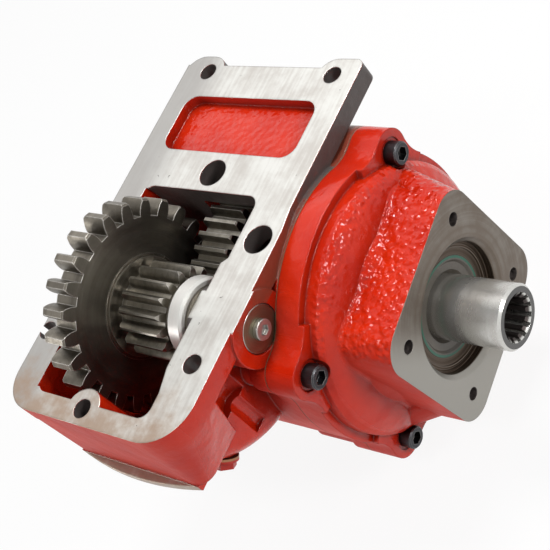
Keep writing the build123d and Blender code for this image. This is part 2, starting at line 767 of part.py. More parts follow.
# Input gear, the large one that stands out of the window
with BuildPart() as input_gear:
    with BuildSketch(idler_plane(input_gear_far_x)):
        with BuildLine():
            spur_outline(
                input_module, input_teeth, input_tip_radius, input_root_radius, 0, input_gear_phase
            )
        make_face()
        Circle(hub_seat_radius + fit_clearance, mode=Mode.SUBTRACT)
    extrude(amount=input_gear_width)
    with BuildSketch(idler_section):
        with BuildLine():
            Polyline(
                (input_gear_far_x, 0),
                (input_gear_far_x, input_tip_radius - gear_chamfer),
                (input_gear_far_x + gear_chamfer, input_tip_radius + 0.1),
                (input_gear_near_x - gear_chamfer, input_tip_radius + 0.1),
                (input_gear_near_x, input_tip_radius - gear_chamfer),
                (input_gear_near_x, 0),
                close=True,
            )
        make_face()
    revolve(axis=idler_axis, mode=Mode.INTERSECT)
    with BuildSketch(idler_plane(input_gear_near_x)):
        Circle(hub_seat_radius + ring_stand_out + fit_clearance)
    extrude(amount=-ring_counterbore, mode=Mode.SUBTRACT)
input_gear.part.label = "input_gear"
export_step(input_gear.part, "parts/input_gear.step")

# Hub of the idler cluster with the pinion cut into it
with BuildPart() as pinion_hub:
    with BuildSketch(idler_plane(pinion_left_x)):
        with BuildLine():
            spur_outline(
                pinion_module,
                pinion_teeth,
                pinion_tip_radius,
                pinion_root_radius,
                pinion_shift,
                pinion_phase,
            )
        make_face()
    extrude(amount=pinion_length)
    with BuildSketch(idler_section):
        with BuildLine():
            Polyline(
                (pinion_left_x, 0),
                (pinion_left_x, pinion_tip_radius - 1.5),
                (pinion_left_x + 1.5, pinion_tip_radius + 0.1),
                (pinion_right_x - 1.5, pinion_tip_radius + 0.1),
                (pinion_right_x, pinion_tip_radius - 1.5),
                (pinion_right_x, 0),
                close=True,
            )
        make_face()
    revolve(axis=idler_axis, mode=Mode.INTERSECT)
    with BuildSketch(idler_section):
        with BuildLine():
            Polyline(
                (hub_left_x, 0),
                (hub_left_x, hub_flange_radius - 1),
                (hub_left_x + 1, hub_flange_radius),
                (input_gear_far_x - fit_clearance, hub_flange_radius),
                (input_gear_far_x - fit_clearance, hub_seat_radius),
                (hub_seat_right_x, hub_seat_radius),
                (hub_seat_right_x, neck_radius),
                (collar_left_x, neck_radius),
                (collar_left_x, collar_radius - 1),
                (collar_left_x + 1, collar_radius),
                (collar_right_x - 1.5, collar_radius),
                (collar_right_x, collar_radius - 1.5),
                (collar_right_x, 0),
                close=True,
            )
        make_face()
    revolve(axis=idler_axis)
    with BuildSketch(idler_plane(retaining_ring_left_x - fit_clearance)):
        Circle(hub_seat_radius + 1)
        Circle(hub_seat_radius - ring_groove_depth, mode=Mode.SUBTRACT)
    extrude(amount=circlip_thickness + 2 * fit_clearance, mode=Mode.SUBTRACT)
    with BuildSketch(idler_plane(hub_left_x)):
        Circle(cluster_bore_radius)
    extrude(amount=collar_right_x - hub_left_x, mode=Mode.SUBTRACT)
pinion_hub.part.label = "pinion_hub"
export_step(pinion_hub.part, "parts/pinion_hub.step")

# Ring that holds the input gear on its seat
with BuildPart() as gear_retaining_ring:
    with BuildSketch(idler_plane(retaining_ring_left_x)):
        Circle(hub_seat_radius + ring_stand_out)
        Circle(hub_seat_radius - ring_groove_depth + fit_clearance, mode=Mode.SUBTRACT)
        with Locations(polar(hub_seat_radius, ring_gap_angle)):
            Rectangle(ring_gap, ring_gap, rotation=ring_gap_angle, mode=Mode.SUBTRACT)
    extrude(amount=circlip_thickness)
gear_retaining_ring.part.label = "gear_retaining_ring"
export_step(gear_retaining_ring.part, "parts/gear_retaining_ring.step")

# Two rows of needle rollers between the axle and the hub
with BuildPart() as needle_rollers:
    for row_x in needle_row_places:
        with BuildSketch(idler_plane(row_x)):
            with PolarLocations(needle_circle_radius, needle_count):
                Circle(needle_diameter / 2)
        extrude(amount=needle_length)
needle_rollers.part.label = "needle_rollers"
export_step(needle_rollers.part, "parts/needle_rollers.step")

# Cages of the needle rollers
with BuildPart() as needle_cages:
    for row_x in needle_row_places:
        with BuildSketch(idler_plane(row_x - needle_end_ring)):
            Circle(cluster_bore_radius - running_clearance)
            Circle(axle_radius + cage_clearance, mode=Mode.SUBTRACT)
        extrude(amount=needle_length + 2 * needle_end_ring)
        with BuildSketch(idler_plane(row_x - running_clearance)):
            with PolarLocations(needle_circle_radius, needle_count):
                Rectangle(2 * needle_diameter, needle_diameter + 2 * running_clearance)
        extrude(amount=needle_length + 2 * running_clearance, mode=Mode.SUBTRACT)
needle_cages.part.label = "needle_cages"
export_step(needle_cages.part, "parts/needle_cages.step")

# Output gear with its hub
with BuildPart() as output_gear:
    with BuildSketch(output_plane(output_gear_left_x)):
        with BuildLine():
            spur_outline(
                pinion_module,
                output_teeth,
                output_tip_radius,
                output_root_radius,
                -pinion_shift,
                output_gear_phase,
            )
        make_face()
    extrude(amount=output_gear_width)
    with BuildSketch(output_section):
        with BuildLine():
            Polyline(
                (output_gear_left_x, 0),
                (output_gear_left_x, output_tip_radius - gear_chamfer),
                (output_gear_left_x + gear_chamfer, output_tip_radius + 0.1),
                (output_gear_right_x - gear_chamfer, output_tip_radius + 0.1),
                (output_gear_right_x, output_tip_radius - gear_chamfer),
                (output_gear_right_x, 0),
                close=True,
            )
        make_face()
    revolve(axis=output_axis, mode=Mode.INTERSECT)
    with BuildSketch(output_plane(output_gear_left_x)):
        Circle(hub_outer_diameter / 2)
    extrude(amount=hub_right_x - output_gear_left_x)
    with BuildSketch(output_plane(output_gear_right_x - web_recess)):
        Circle(output_root_radius - rim_thickness)
        Circle(hub_outer_diameter / 2, mode=Mode.SUBTRACT)
    extrude(amount=web_recess, mode=Mode.SUBTRACT)
    with BuildSketch(output_plane(output_gear_left_x)):
        Circle(shaft_radius + fit_clearance)
        with Locations((0, shaft_radius)):
            Rectangle(key_width + 2 * fit_clearance, 2 * (key_top_radius - shaft_radius + fit_clearance))
    extrude(amount=hub_right_x - output_gear_left_x, mode=Mode.SUBTRACT)
output_gear.part.label = "output_gear"
export_step(output_gear.part, "parts/output_gear.step")

# Key between the output gear and its shaft
with BuildPart() as output_key:
    with BuildSketch(output_plane(key_left_x)):
        with Locations((0, key_top_radius - key_height / 2)):
            Rectangle(key_width, key_height)
    extrude(amount=key_length)
output_key.part.label = "output_key"
export_step(output_key.part, "parts/output_key.step")

# Hollow output shaft with an internal spline at its end
with BuildPart() as output_shaft:
    with BuildSketch(output_section):
        with BuildLine():
            Polyline(
                (front_bearing_left_x, 0),
                (front_bearing_left_x, front_journal_radius - 1),
                (front_bearing_left_x + 1, front_journal_radius),
                (front_journal_shoulder_x, front_journal_radius),
                (front_journal_shoulder_x, shaft_shoulder_radius),
                (output_gear_left_x, shaft_shoulder_radius),
                (output_gear_left_x, shaft_radius),
                (shaft_end_x - shaft_edge, shaft_radius),
                (shaft_end_x, shaft_radius - shaft_edge),
                (shaft_end_x, 0),
                close=True,
            )
        make_face()
    revolve(axis=output_axis)
    with BuildSketch(output_plane(key_left_x - fit_clearance)):
        with Locations((0, shaft_radius)):
            Rectangle(key_width + 2 * fit_clearance, 2 * (key_depth_in_shaft + fit_clearance))
    extrude(amount=key_length + 2 * fit_clearance, mode=Mode.SUBTRACT)
    with BuildSketch(output_plane(rear_bearing_right_x + fit_clearance)):
        Circle(shaft_radius + 1)
        Circle(shaft_radius - shaft_groove_depth, mode=Mode.SUBTRACT)
    extrude(amount=circlip_thickness + 2 * fit_clearance, mode=Mode.SUBTRACT)
    with BuildSketch(output_plane(shaft_end_x)):
        Circle(drill_diameter / 2)
    extrude(amount=-drill_depth, mode=Mode.SUBTRACT)
    with BuildSketch(output_plane(shaft_end_x)):
        Circle(spline_minor_diameter / 2)
        with PolarLocations(spline_middle_radius, spline_teeth):
            Rectangle(spline_major_diameter - spline_minor_diameter, spline_space_width)
    extrude(amount=-spline_depth, mode=Mode.SUBTRACT)
    with BuildSketch(output_section):
        with BuildLine():
            Polyline(
                (shaft_end_x - spline_mouth - 1.5, spline_minor_diameter / 2 - 1),
                (shaft_end_x, spline_major_diameter / 2 + 1),
                (shaft_end_x, spline_minor_diameter / 2 - 1),
                close=True,
            )
        make_face()
    revolve(axis=output_axis, mode=Mode.SUBTRACT)
output_shaft.part.label = "output_shaft"
export_step(output_shaft.part, "parts/output_shaft.step")

# Sleeve between the output gear's hub and the rear bearing
with BuildPart() as spacer_sleeve:
    with BuildSketch(output_plane(hub_right_x)):
        Circle(shaft_radius + sleeve_thickness)
        Circle(shaft_radius + fit_clearance, mode=Mode.SUBTRACT)
    extrude(amount=rear_bearing_left_x - hub_right_x)
spacer_sleeve.part.label = "spacer_sleeve"
export_step(spacer_sleeve.part, "parts/spacer_sleeve.step")

# Ring on the shaft beyond the rear bearing
with BuildPart() as shaft_circlip:
    with BuildSketch(output_plane(rear_bearing_right_x + 2 * fit_clearance)):
        Circle(shaft_radius + circlip_height - shaft_groove_depth)
        Circle(shaft_radius - shaft_groove_depth + fit_clearance, mode=Mode.SUBTRACT)
        with Locations((0, shaft_radius)):
            Rectangle(ring_gap, 2 * circlip_height, mode=Mode.SUBTRACT)
    extrude(amount=circlip_thickness)
shaft_circlip.part.label = "shaft_circlip"
export_step(shaft_circlip.part, "parts/shaft_circlip.step")

# Ring in the end cover that holds the rear bearing
with BuildPart() as bearing_circlip:
    with BuildSketch(output_plane(bearing_clip_left_x + axial_gap / 2)):
        Circle(rear_bore_radius + circlip_height / 2 - fit_clearance)
        Circle(rear_bore_radius - circlip_height / 2, mode=Mode.SUBTRACT)
        with Locations((0, rear_bore_radius)):
            Rectangle(2 * ring_gap, 2 * circlip_height, mode=Mode.SUBTRACT)
    extrude(amount=circlip_thickness)
bearing_circlip.part.label = "bearing_circlip"
export_step(bearing_circlip.part, "parts/bearing_circlip.step")

# Front bearing of the output shaft
with BuildPart() as front_bearing_outer:
    with BuildSketch(output_section):
        with BuildLine():
            Polyline(
                (front_bearing_left_x, front_ball_circle + front_ball_radius * ball_share),
                (front_bearing_left_x, front_bearing_outside / 2),
                (front_journal_shoulder_x, front_bearing_outside / 2),
                (front_journal_shoulder_x, front_ball_circle + front_ball_radius * ball_share),
                close=True,
            )
        make_face()
        with Locations((front_bearing_middle_x, front_ball_circle)):
            Circle(front_ball_radius + running_clearance, mode=Mode.SUBTRACT)
    revolve(axis=output_axis)
front_bearing_outer.part.label = "front_bearing_outer"
export_step(front_bearing_outer.part, "parts/front_bearing_outer.step")
with BuildPart() as front_bearing_inner:
    with BuildSketch(output_section):
        with BuildLine():
            Polyline(
                (front_bearing_left_x, front_journal_radius + fit_clearance),
                (front_bearing_left_x, front_ball_circle - front_ball_radius * ball_share),
                (front_journal_shoulder_x, front_ball_circle - front_ball_radius * ball_share),
                (front_journal_shoulder_x, front_journal_radius + fit_clearance),
                close=True,
            )
        make_face()
        with Locations((front_bearing_middle_x, front_ball_circle)):
            Circle(front_ball_radius + fit_clearance, mode=Mode.SUBTRACT)
    revolve(axis=output_axis)
front_bearing_inner.part.label = "front_bearing_inner"
export_step(front_bearing_inner.part, "parts/front_bearing_inner.step")
with BuildPart() as front_bearing_balls:
    for turn in range(ball_count):
        at = polar(front_ball_circle, turn * 360 / ball_count)
        with Locations((front_bearing_middle_x, output_y + at[0], output_z + at[1])):
            Sphere(front_ball_radius)
front_bearing_balls.part.label = "front_bearing_balls"
export_step(front_bearing_balls.part, "parts/front_bearing_balls.step")
with BuildPart() as front_bearing_cage:
    with BuildSketch(output_plane(front_bearing_middle_x - front_ball_radius - 1)):
        Circle(front_ball_circle + cage_half_thickness)
        Circle(front_ball_circle - cage_half_thickness, mode=Mode.SUBTRACT)
    extrude(amount=2 * front_ball_radius + 2)
    for turn in range(ball_count):
        at = polar(front_ball_circle, turn * 360 / ball_count)
        with Locations((front_bearing_middle_x, output_y + at[0], output_z + at[1])):
            Sphere(front_ball_radius + fit_clearance, mode=Mode.SUBTRACT)
front_bearing_cage.part.label = "front_bearing_cage"
export_step(front_bearing_cage.part, "parts/front_bearing_cage.step")

# Rear bearing of the output shaft
with BuildPart() as rear_bearing_outer:
    with BuildSketch(output_section):
        with BuildLine():
            Polyline(
                (rear_bearing_left_x, rear_ball_circle + rear_ball_radius * ball_share),
                (rear_bearing_left_x, rear_bearing_outside / 2),
                (rear_bearing_right_x, rear_bearing_outside / 2),
                (rear_bearing_right_x, rear_ball_circle + rear_ball_radius * ball_share),
                close=True,
            )
        make_face()
        with Locations((rear_bearing_middle_x, rear_ball_circle)):
            Circle(rear_ball_radius + running_clearance, mode=Mode.SUBTRACT)
    revolve(axis=output_axis)
rear_bearing_outer.part.label = "rear_bearing_outer"
export_step(rear_bearing_outer.part, "parts/rear_bearing_outer.step")
with BuildPart() as rear_bearing_inner:
    with BuildSketch(output_section):
        with BuildLine():
            Polyline(
                (rear_bearing_left_x, shaft_radius + fit_clearance),
                (rear_bearing_left_x, rear_ball_circle - rear_ball_radius * ball_share),
                (rear_bearing_right_x, rear_ball_circle - rear_ball_radius * ball_share),
                (rear_bearing_right_x, shaft_radius + fit_clearance),
                close=True,
            )
        make_face()
        with Locations((rear_bearing_middle_x, rear_ball_circle)):
            Circle(rear_ball_radius + fit_clearance, mode=Mode.SUBTRACT)
    revolve(axis=output_axis)
rear_bearing_inner.part.label = "rear_bearing_inner"
export_step(rear_bearing_inner.part, "parts/rear_bearing_inner.step")
with BuildPart() as rear_bearing_balls:
    for turn in range(ball_count):
        at = polar(rear_ball_circle, turn * 360 / ball_count)
        with Locations((rear_bearing_middle_x, output_y + at[0], output_z + at[1])):
            Sphere(rear_ball_radius)
rear_bearing_balls.part.label = "rear_bearing_balls"
export_step(rear_bearing_balls.part, "parts/rear_bearing_balls.step")
with BuildPart() as rear_bearing_cage:
    with BuildSketch(output_plane(rear_bearing_middle_x - rear_ball_radius - 1)):
        Circle(rear_ball_circle + cage_half_thickness)
        Circle(rear_ball_circle - cage_half_thickness, mode=Mode.SUBTRACT)
    extrude(amount=2 * rear_ball_radius + 2)
    for turn in range(ball_count):
        at = polar(rear_ball_circle, turn * 360 / ball_count)
        with Locations((rear_bearing_middle_x, output_y + at[0], output_z + at[1])):
            Sphere(rear_ball_radius + fit_clearance, mode=Mode.SUBTRACT)
rear_bearing_cage.part.label = "rear_bearing_cage"
export_step(rear_bearing_cage.part, "parts/rear_bearing_cage.step")

# Shaft seal in the end cover
with BuildPart() as shaft_seal:
    with BuildSketch(output_section):
        with BuildLine():
            Polyline(
                (recess_floor_x - seal_width, seal_bore_radius - fit_clearance),
                (recess_floor_x, seal_bore_radius - fit_clearance),
                (recess_floor_x, seal_bore_radius - 2.5),
                (recess_floor_x - 1.5, seal_bore_radius - 4),
                (recess_floor_x - 1.5, shaft_radius + 2.5),
                (recess_floor_x - 4, shaft_radius + running_clearance),
                (recess_floor_x - 5, shaft_radius + running_clearance),
                (recess_floor_x - 6, shaft_radius + 2),
                (recess_floor_x - 3, shaft_radius + 4),
                (recess_floor_x - 3, seal_bore_radius - 2.5),
                (recess_floor_x - seal_width, seal_bore_radius - 2.5),
                close=True,
            )
        make_face()
    revolve(axis=output_axis)
shaft_seal.part.label = "shaft_seal"
export_step(shaft_seal.part, "parts/shaft_seal.step")

# Drain plug under the gear chamber, and its washer
with BuildPart() as drain_plug:
    with BuildSketch(drain_plane):
        Circle(drain_thread_diameter / 2)
    extrude(amount=-drain_thread_length - drain_washer_thickness)
    with BuildSketch(drain_plane):
        Circle(drain_head_diameter / 2)
    extrude(amount=drain_flange_thickness)
    with BuildSketch(drain_plane.offset(drain_flange_thickness)):
        RegularPolygon(drain_across_flats / sqrt(3), 6)
    extrude(amount=drain_head_height)
drain_plug.part.label = "drain_plug"
export_step(drain_plug.part, "parts/drain_plug.step")
with BuildPart() as drain_washer:
    with BuildSketch(drain_plane):
        Circle(drain_head_diameter / 2)
        Circle(drain_thread_diameter / 2 + fit_clearance, mode=Mode.SUBTRACT)
    extrude(amount=-drain_washer_thickness)
drain_washer.part.label = "drain_washer"
export_step(drain_washer.part, "parts/drain_washer.step")
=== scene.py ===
"""Looks of the power take off unit: paint, machined faces, steel, the lights and the camera.

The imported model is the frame. X runs along both shafts to the pump flange, Y along the mounting
flange, and +Z stands out of the mounting face. Lengths are in metres, angles in radians.
"""
from __future__ import annotations

import logging
from dataclasses import dataclass
from enum import Enum

import bmesh
import bpy
from mathutils import Matrix, Vector

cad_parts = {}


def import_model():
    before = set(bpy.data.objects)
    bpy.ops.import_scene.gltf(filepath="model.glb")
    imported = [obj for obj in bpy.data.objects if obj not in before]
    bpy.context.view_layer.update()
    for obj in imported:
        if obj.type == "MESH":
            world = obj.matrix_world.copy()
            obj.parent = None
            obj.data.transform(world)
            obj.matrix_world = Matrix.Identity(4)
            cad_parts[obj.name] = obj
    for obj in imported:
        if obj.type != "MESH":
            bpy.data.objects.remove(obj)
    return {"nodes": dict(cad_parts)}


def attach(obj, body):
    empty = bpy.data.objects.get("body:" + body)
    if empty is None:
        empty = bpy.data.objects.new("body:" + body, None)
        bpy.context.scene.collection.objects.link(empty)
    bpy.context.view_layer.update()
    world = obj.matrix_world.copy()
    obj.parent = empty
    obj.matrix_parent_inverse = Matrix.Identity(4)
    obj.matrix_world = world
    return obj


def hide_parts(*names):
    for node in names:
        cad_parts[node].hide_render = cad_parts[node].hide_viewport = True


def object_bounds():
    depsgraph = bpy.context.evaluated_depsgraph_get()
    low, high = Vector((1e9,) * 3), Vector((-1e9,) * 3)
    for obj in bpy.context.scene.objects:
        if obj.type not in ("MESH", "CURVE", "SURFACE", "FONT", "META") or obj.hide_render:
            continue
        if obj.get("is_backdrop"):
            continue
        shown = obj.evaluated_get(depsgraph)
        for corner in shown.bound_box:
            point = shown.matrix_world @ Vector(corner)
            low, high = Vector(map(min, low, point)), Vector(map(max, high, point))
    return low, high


LOG = logging.getLogger("power_take_off")
MM = 0.001

Colour = tuple[float, float, float]
Place = tuple[float, float]
Span = tuple[float, float]
Point = tuple[float, float, float]
Socket = bpy.types.NodeSocket
Outputs = bpy.types.bpy_prop_collection
Material = bpy.types.Material
Tree = bpy.types.NodeTree

FLAT: Span = (0.6, 0.9)
MILLING_PITCH = 1100.0


def span(first: float, last: float, past: float = 0.0) -> Span:
    """Gives a span between two distances in millimetres past a place in metres."""
    return past + first * MM, past + last * MM


def darker(tone: Colour, share: float) -> Colour:
    """Gives a share of a colour."""
    return tuple(share * channel for channel in tone)


class Effect(Enum):
    """Surface effects that several finishes share."""

    CAST_SKIN = "cast_skin"
    ORANGE_PEEL = "orange_peel"
    MILLED_MARKS = "milled_marks"
    TURNED_MARKS = "turned_marks"
    EDGE_RUB = "edge_rub"
    PAINTED_CORNER_SHADE = "painted_corner_shade"


@dataclass(frozen=True)
class Layout:
    """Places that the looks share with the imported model, in metres.

    A span gives where a mask is 0 and where it is 1.
    """

    idler_axis: Place = (0.0, -19.2 * MM)
    output_axis: Place = (69.5 * MM, -95.894 * MM)

    flange_thickness: float = 14.0 * MM
    flange_middle_x: float = 4.0 * MM
    flange_edge: float = 61.0 * MM
    flange_end_y: float = 160.0 * MM
    face_z: Span = span(-0.6, -0.2)
    below_face_z: Span = span(-0.1, -0.5)
    flange_low_z: Span = span(-0.5, 0.5, -flange_thickness)
    flange_side: Span = span(0, 2, flange_edge)
    flange_end: Span = span(0, 2, flange_end_y)
    dark_edge_y: Span = span(62, 100)
    sprayed_edge_y: Span = span(-35, 30)
    under_edge_z: Span = span(-40, -18)
    under_edge_y: Span = span(25, 80)
    darker_left_x: Span = span(-22, -58)
    rusty_low_y: Span = span(-48, -96)
    pocket_y: Span = span(100, 104)
    pocket_z: Span = span(-13, -12)

    window_half_x: float = 51.0 * MM
    window_top_y: float = 73.0 * MM
    window_side: Span = span(2, 0, window_half_x)
    window_start_y: Span = span(-1, 0, window_top_y)
    window_stop_y: Span = span(6, 5, window_top_y)
    boss_radius: Span = span(27, 25)
    boss_start_x: Span = span(36, 38)
    boss_stop_x: Span = span(64, 62)

    wall_y: float = -88.0 * MM
    lip_side_y: Span = span(-0.3, -0.7, wall_y)
    lip_top_z: Span = span(-58, -59)
    lip_low_z: Span = span(-67, -66)

    hole_fade: Span = (0.5 * MM, 0.2 * MM)
    mount_hole_radius: float = 6.25 * MM
    bottom_hole: Place = (-0.7 * MM, -78.5 * MM)
    mount_holes: tuple[Place, ...] = (
        (-47.8 * MM, 166.1 * MM),
        (58.4 * MM, 166.1 * MM),
        (-63.6 * MM, -36.6 * MM),
        (63.6 * MM, -36.6 * MM),
        bottom_hole,
    )
    oil_hole_radius: float = 9.7 * MM
    oil_holes: tuple[Place, ...] = ((3.5 * MM, 88.5 * MM), (65.5 * MM, 46.8 * MM))
    oil_hole_low_z: Span = span(-0.5, 0, -18.9 * MM)

    pump_face_x: float = 149.5 * MM
    pump_face_start_x: Span = span(-0.6, -0.2, pump_face_x)
    below_chamfer_x: Span = span(-2.8, -3.4, pump_face_x)
    pump_hole_start_x: Span = span(-27, -26, pump_face_x)
    pump_hole_radius: float = 4.25 * MM
    pump_holes: tuple[Place, ...] = (
        (103.54 * MM, -50.72 * MM),
        (24.32 * MM, -61.85 * MM),
        (35.46 * MM, -141.07 * MM),
        (114.68 * MM, -129.94 * MM),
    )
    # where the pump face's painted reflection fades in
    pump_painted_light_low: Span = span(-8, 26)
    recess_radius: Span = span(0.1, -0.1, 43.6 * MM)
    recess_start_x: Span = span(-14, -13, 140.0 * MM)
    column_start_x: Span = span(-12, -4, 112.0 * MM)

    collar_start_x: Span = span(0, 0.3, 29.5 * MM)
    seal_rim_radius: Span = span(-0.2, 0.2, 29.4 * MM)
    shaft_bore_radius: Span = span(0.1, -0.1, 14.2 * MM)
    shaft_bore_start_x: Span = span(-1, 0, 140.0 * MM)
    shaft_bore_stop_x: Span = span(-0.2, -1.5, 186.7 * MM)


class Graph:
    """A node tree with short calls for the nodes that the finishes use."""

    def __init__(self, tree: Tree) -> None:
        """Keeps the material's or group's node tree."""
        self.tree = tree

    def add(self, kind: str, **settings: object) -> bpy.types.Node:
        """Adds a node and sets its properties.

        Args:
            kind: the node's type name.
            settings: properties of the node.

        Returns:
            The new node.
        """
        node = self.tree.nodes.new(kind)
        for name, value in settings.items():
            setattr(node, name, value)
        return node

    def feed(self, socket: Socket, value: object) -> None:
        """Links a socket into another or sets its value.

        Args:
            socket: the input socket.
            value: an output socket, a number or a colour.
        """
        if isinstance(value, bpy.types.NodeSocket):
            self.tree.links.new(value, socket)
        elif isinstance(value, tuple) and len(value) == 3 and socket.type == "RGBA":
            socket.default_value = (*value, 1.0)
        else:
            socket.default_value = value

    def math(self, operation: str, *values: object, clamp: bool = False) -> Socket:
        """Does arithmetic on one to three values and returns the result's socket."""
        node = self.add("ShaderNodeMath", operation=operation, use_clamp=clamp)
        for socket, value in zip(node.inputs, values):
            self.feed(socket, value)
        return node.outputs[0]

    def scaled(self, value: object, factor: object) -> Socket:
        """Multiplies a value by a factor."""
        return self.math("MULTIPLY", value, factor)

    def both(self, *masks: object) -> Socket:
        """Multiplies masks, so the result is 1 where all of them are."""
        result = masks[0]
        for mask in masks[1:]:
            result = self.scaled(result, mask)
        return result

    def either(self, *masks: object) -> Socket:
        """Takes the largest of some masks, so the result is 1 where any of them is."""
        result = masks[0]
        for mask in masks[1:]:
            result = self.math("MAXIMUM", result, mask)
        return result

    def ramp(self, value: object, low: float, high: float) -> Socket:
        """Maps a value smoothly to 0 at low and 1 at high.

        Args:
            value: the value to map.
            low: where the result is 0.
            high: where the result is 1, which may be below low to turn it round.

        Returns:
            The result's socket.
        """
        flipped = low > high
        node = self.add("ShaderNodeMapRange", interpolation_type="SMOOTHSTEP")
        self.feed(node.inputs["Value"], value)
        node.inputs["From Min"].default_value = min(low, high)
        node.inputs["From Max"].default_value = max(low, high)
        node.inputs["To Min"].default_value = 1.0 if flipped else 0.0
        node.inputs["To Max"].default_value = 0.0 if flipped else 1.0
        return node.outputs["Result"]

    def blend(self, share: object, first: object, second: object) -> Socket:
        """Mixes two colours by a share and returns the result's socket."""
        node = self.add("ShaderNodeMix", data_type="RGBA")
        self.feed(node.inputs[0], share)
        self.feed(node.inputs[6], first)
        self.feed(node.inputs[7], second)
        return node.outputs[2]

    def level(self, share: object, first: object, second: object) -> Socket:
        """Mixes two numbers by a share and returns the result's socket."""
        node = self.add("ShaderNodeMix", data_type="FLOAT")
        self.feed(node.inputs[0], share)
        self.feed(node.inputs[2], first)
        self.feed(node.inputs[3], second)
        return node.outputs[0]

    def noise(
        self, scale: object, detail: float = 2.0, roughness: float = 0.5, at: object = None
    ) -> Socket:
        """Gives fractal noise on Object coordinates.

        Args:
            scale: cells per metre.
            detail: octaves.
            roughness: how strong the fine octaves are.
            at: a vector to read instead of the Object coordinates.

        Returns:
            The noise value's socket.
        """
        node = self.add("ShaderNodeTexNoise")
        self.feed(node.inputs["Vector"], at or self.place())
        self.feed(node.inputs["Scale"], scale)
        node.inputs["Detail"].default_value = detail
        node.inputs["Roughness"].default_value = roughness
        return node.outputs["Fac"]

    def place(self) -> Socket:
        """Gives the Object coordinates."""
        return self.add("ShaderNodeTexCoord").outputs["Object"]

    def facing(self) -> Socket:
        """Gives the surface's direction in the object's own frame."""
        return self.add("ShaderNodeTexCoord").outputs["Normal"]

    def end_faces(self) -> Socket:
        """Masks the faces square to the shafts."""
        towards_x, _, _ = self.parts(self.facing())
        return self.ramp(self.math("ABSOLUTE", towards_x), low=0.90, high=0.99)

    def parts(self, vector: object) -> tuple[Socket, ...]:
        """Splits a vector into its x, y and z sockets."""
        node = self.add("ShaderNodeSeparateXYZ")
        self.feed(node.inputs[0], vector)
        return tuple(node.outputs)

    def joined(self, *values: object) -> Socket:
        """Joins two or three numbers into a vector."""
        node = self.add("ShaderNodeCombineXYZ")
        for socket, value in zip(node.inputs, values):
            self.feed(socket, value)
        return node.outputs[0]

    def along_y(self, stretch: float) -> Socket:
        """Gives the Object coordinates with the y axis scaled."""
        node = self.add("ShaderNodeMapping")
        self.feed(node.inputs["Vector"], self.place())
        node.inputs["Scale"].default_value = (1.0, stretch, 1.0)
        return node.outputs[0]

    def length(self, first: object, second: object) -> Socket:
        """Gives the length of a flat vector with the two shares."""
        squares = [self.scaled(value, value) for value in (first, second)]
        return self.math("SQRT", self.math("ADD", *squares))

    def radius_about(self, y: object, z: object) -> Socket:
        """Gives the distance from an axis that runs along X through y and z."""
        _, along_y, along_z = self.parts(self.place())
        return self.length(self.math("SUBTRACT", along_y, y), self.math("SUBTRACT", along_z, z))

    def near_holes(self, centres: tuple[Place, ...], radius: float, along_x: bool = False) -> Socket:
        """Masks the walls of holes that run along Z, or along X.

        Args:
            centres: the holes' x and y, or their y and z where they run along X.
            radius: their radius.
            along_x: whether they run along X.

        Returns:
            The mask's socket, 1 inside and on the walls.
        """
        places = self.parts(self.place())
        first, second = places[1:] if along_x else places[:2]
        outer, inner = Layout.hole_fade
        masks = []
        for a, b in centres:
            away = self.length(self.math("SUBTRACT", first, a), self.math("SUBTRACT", second, b))
            masks.append(self.ramp(away, radius + outer, radius + inner))
        return self.either(*masks)


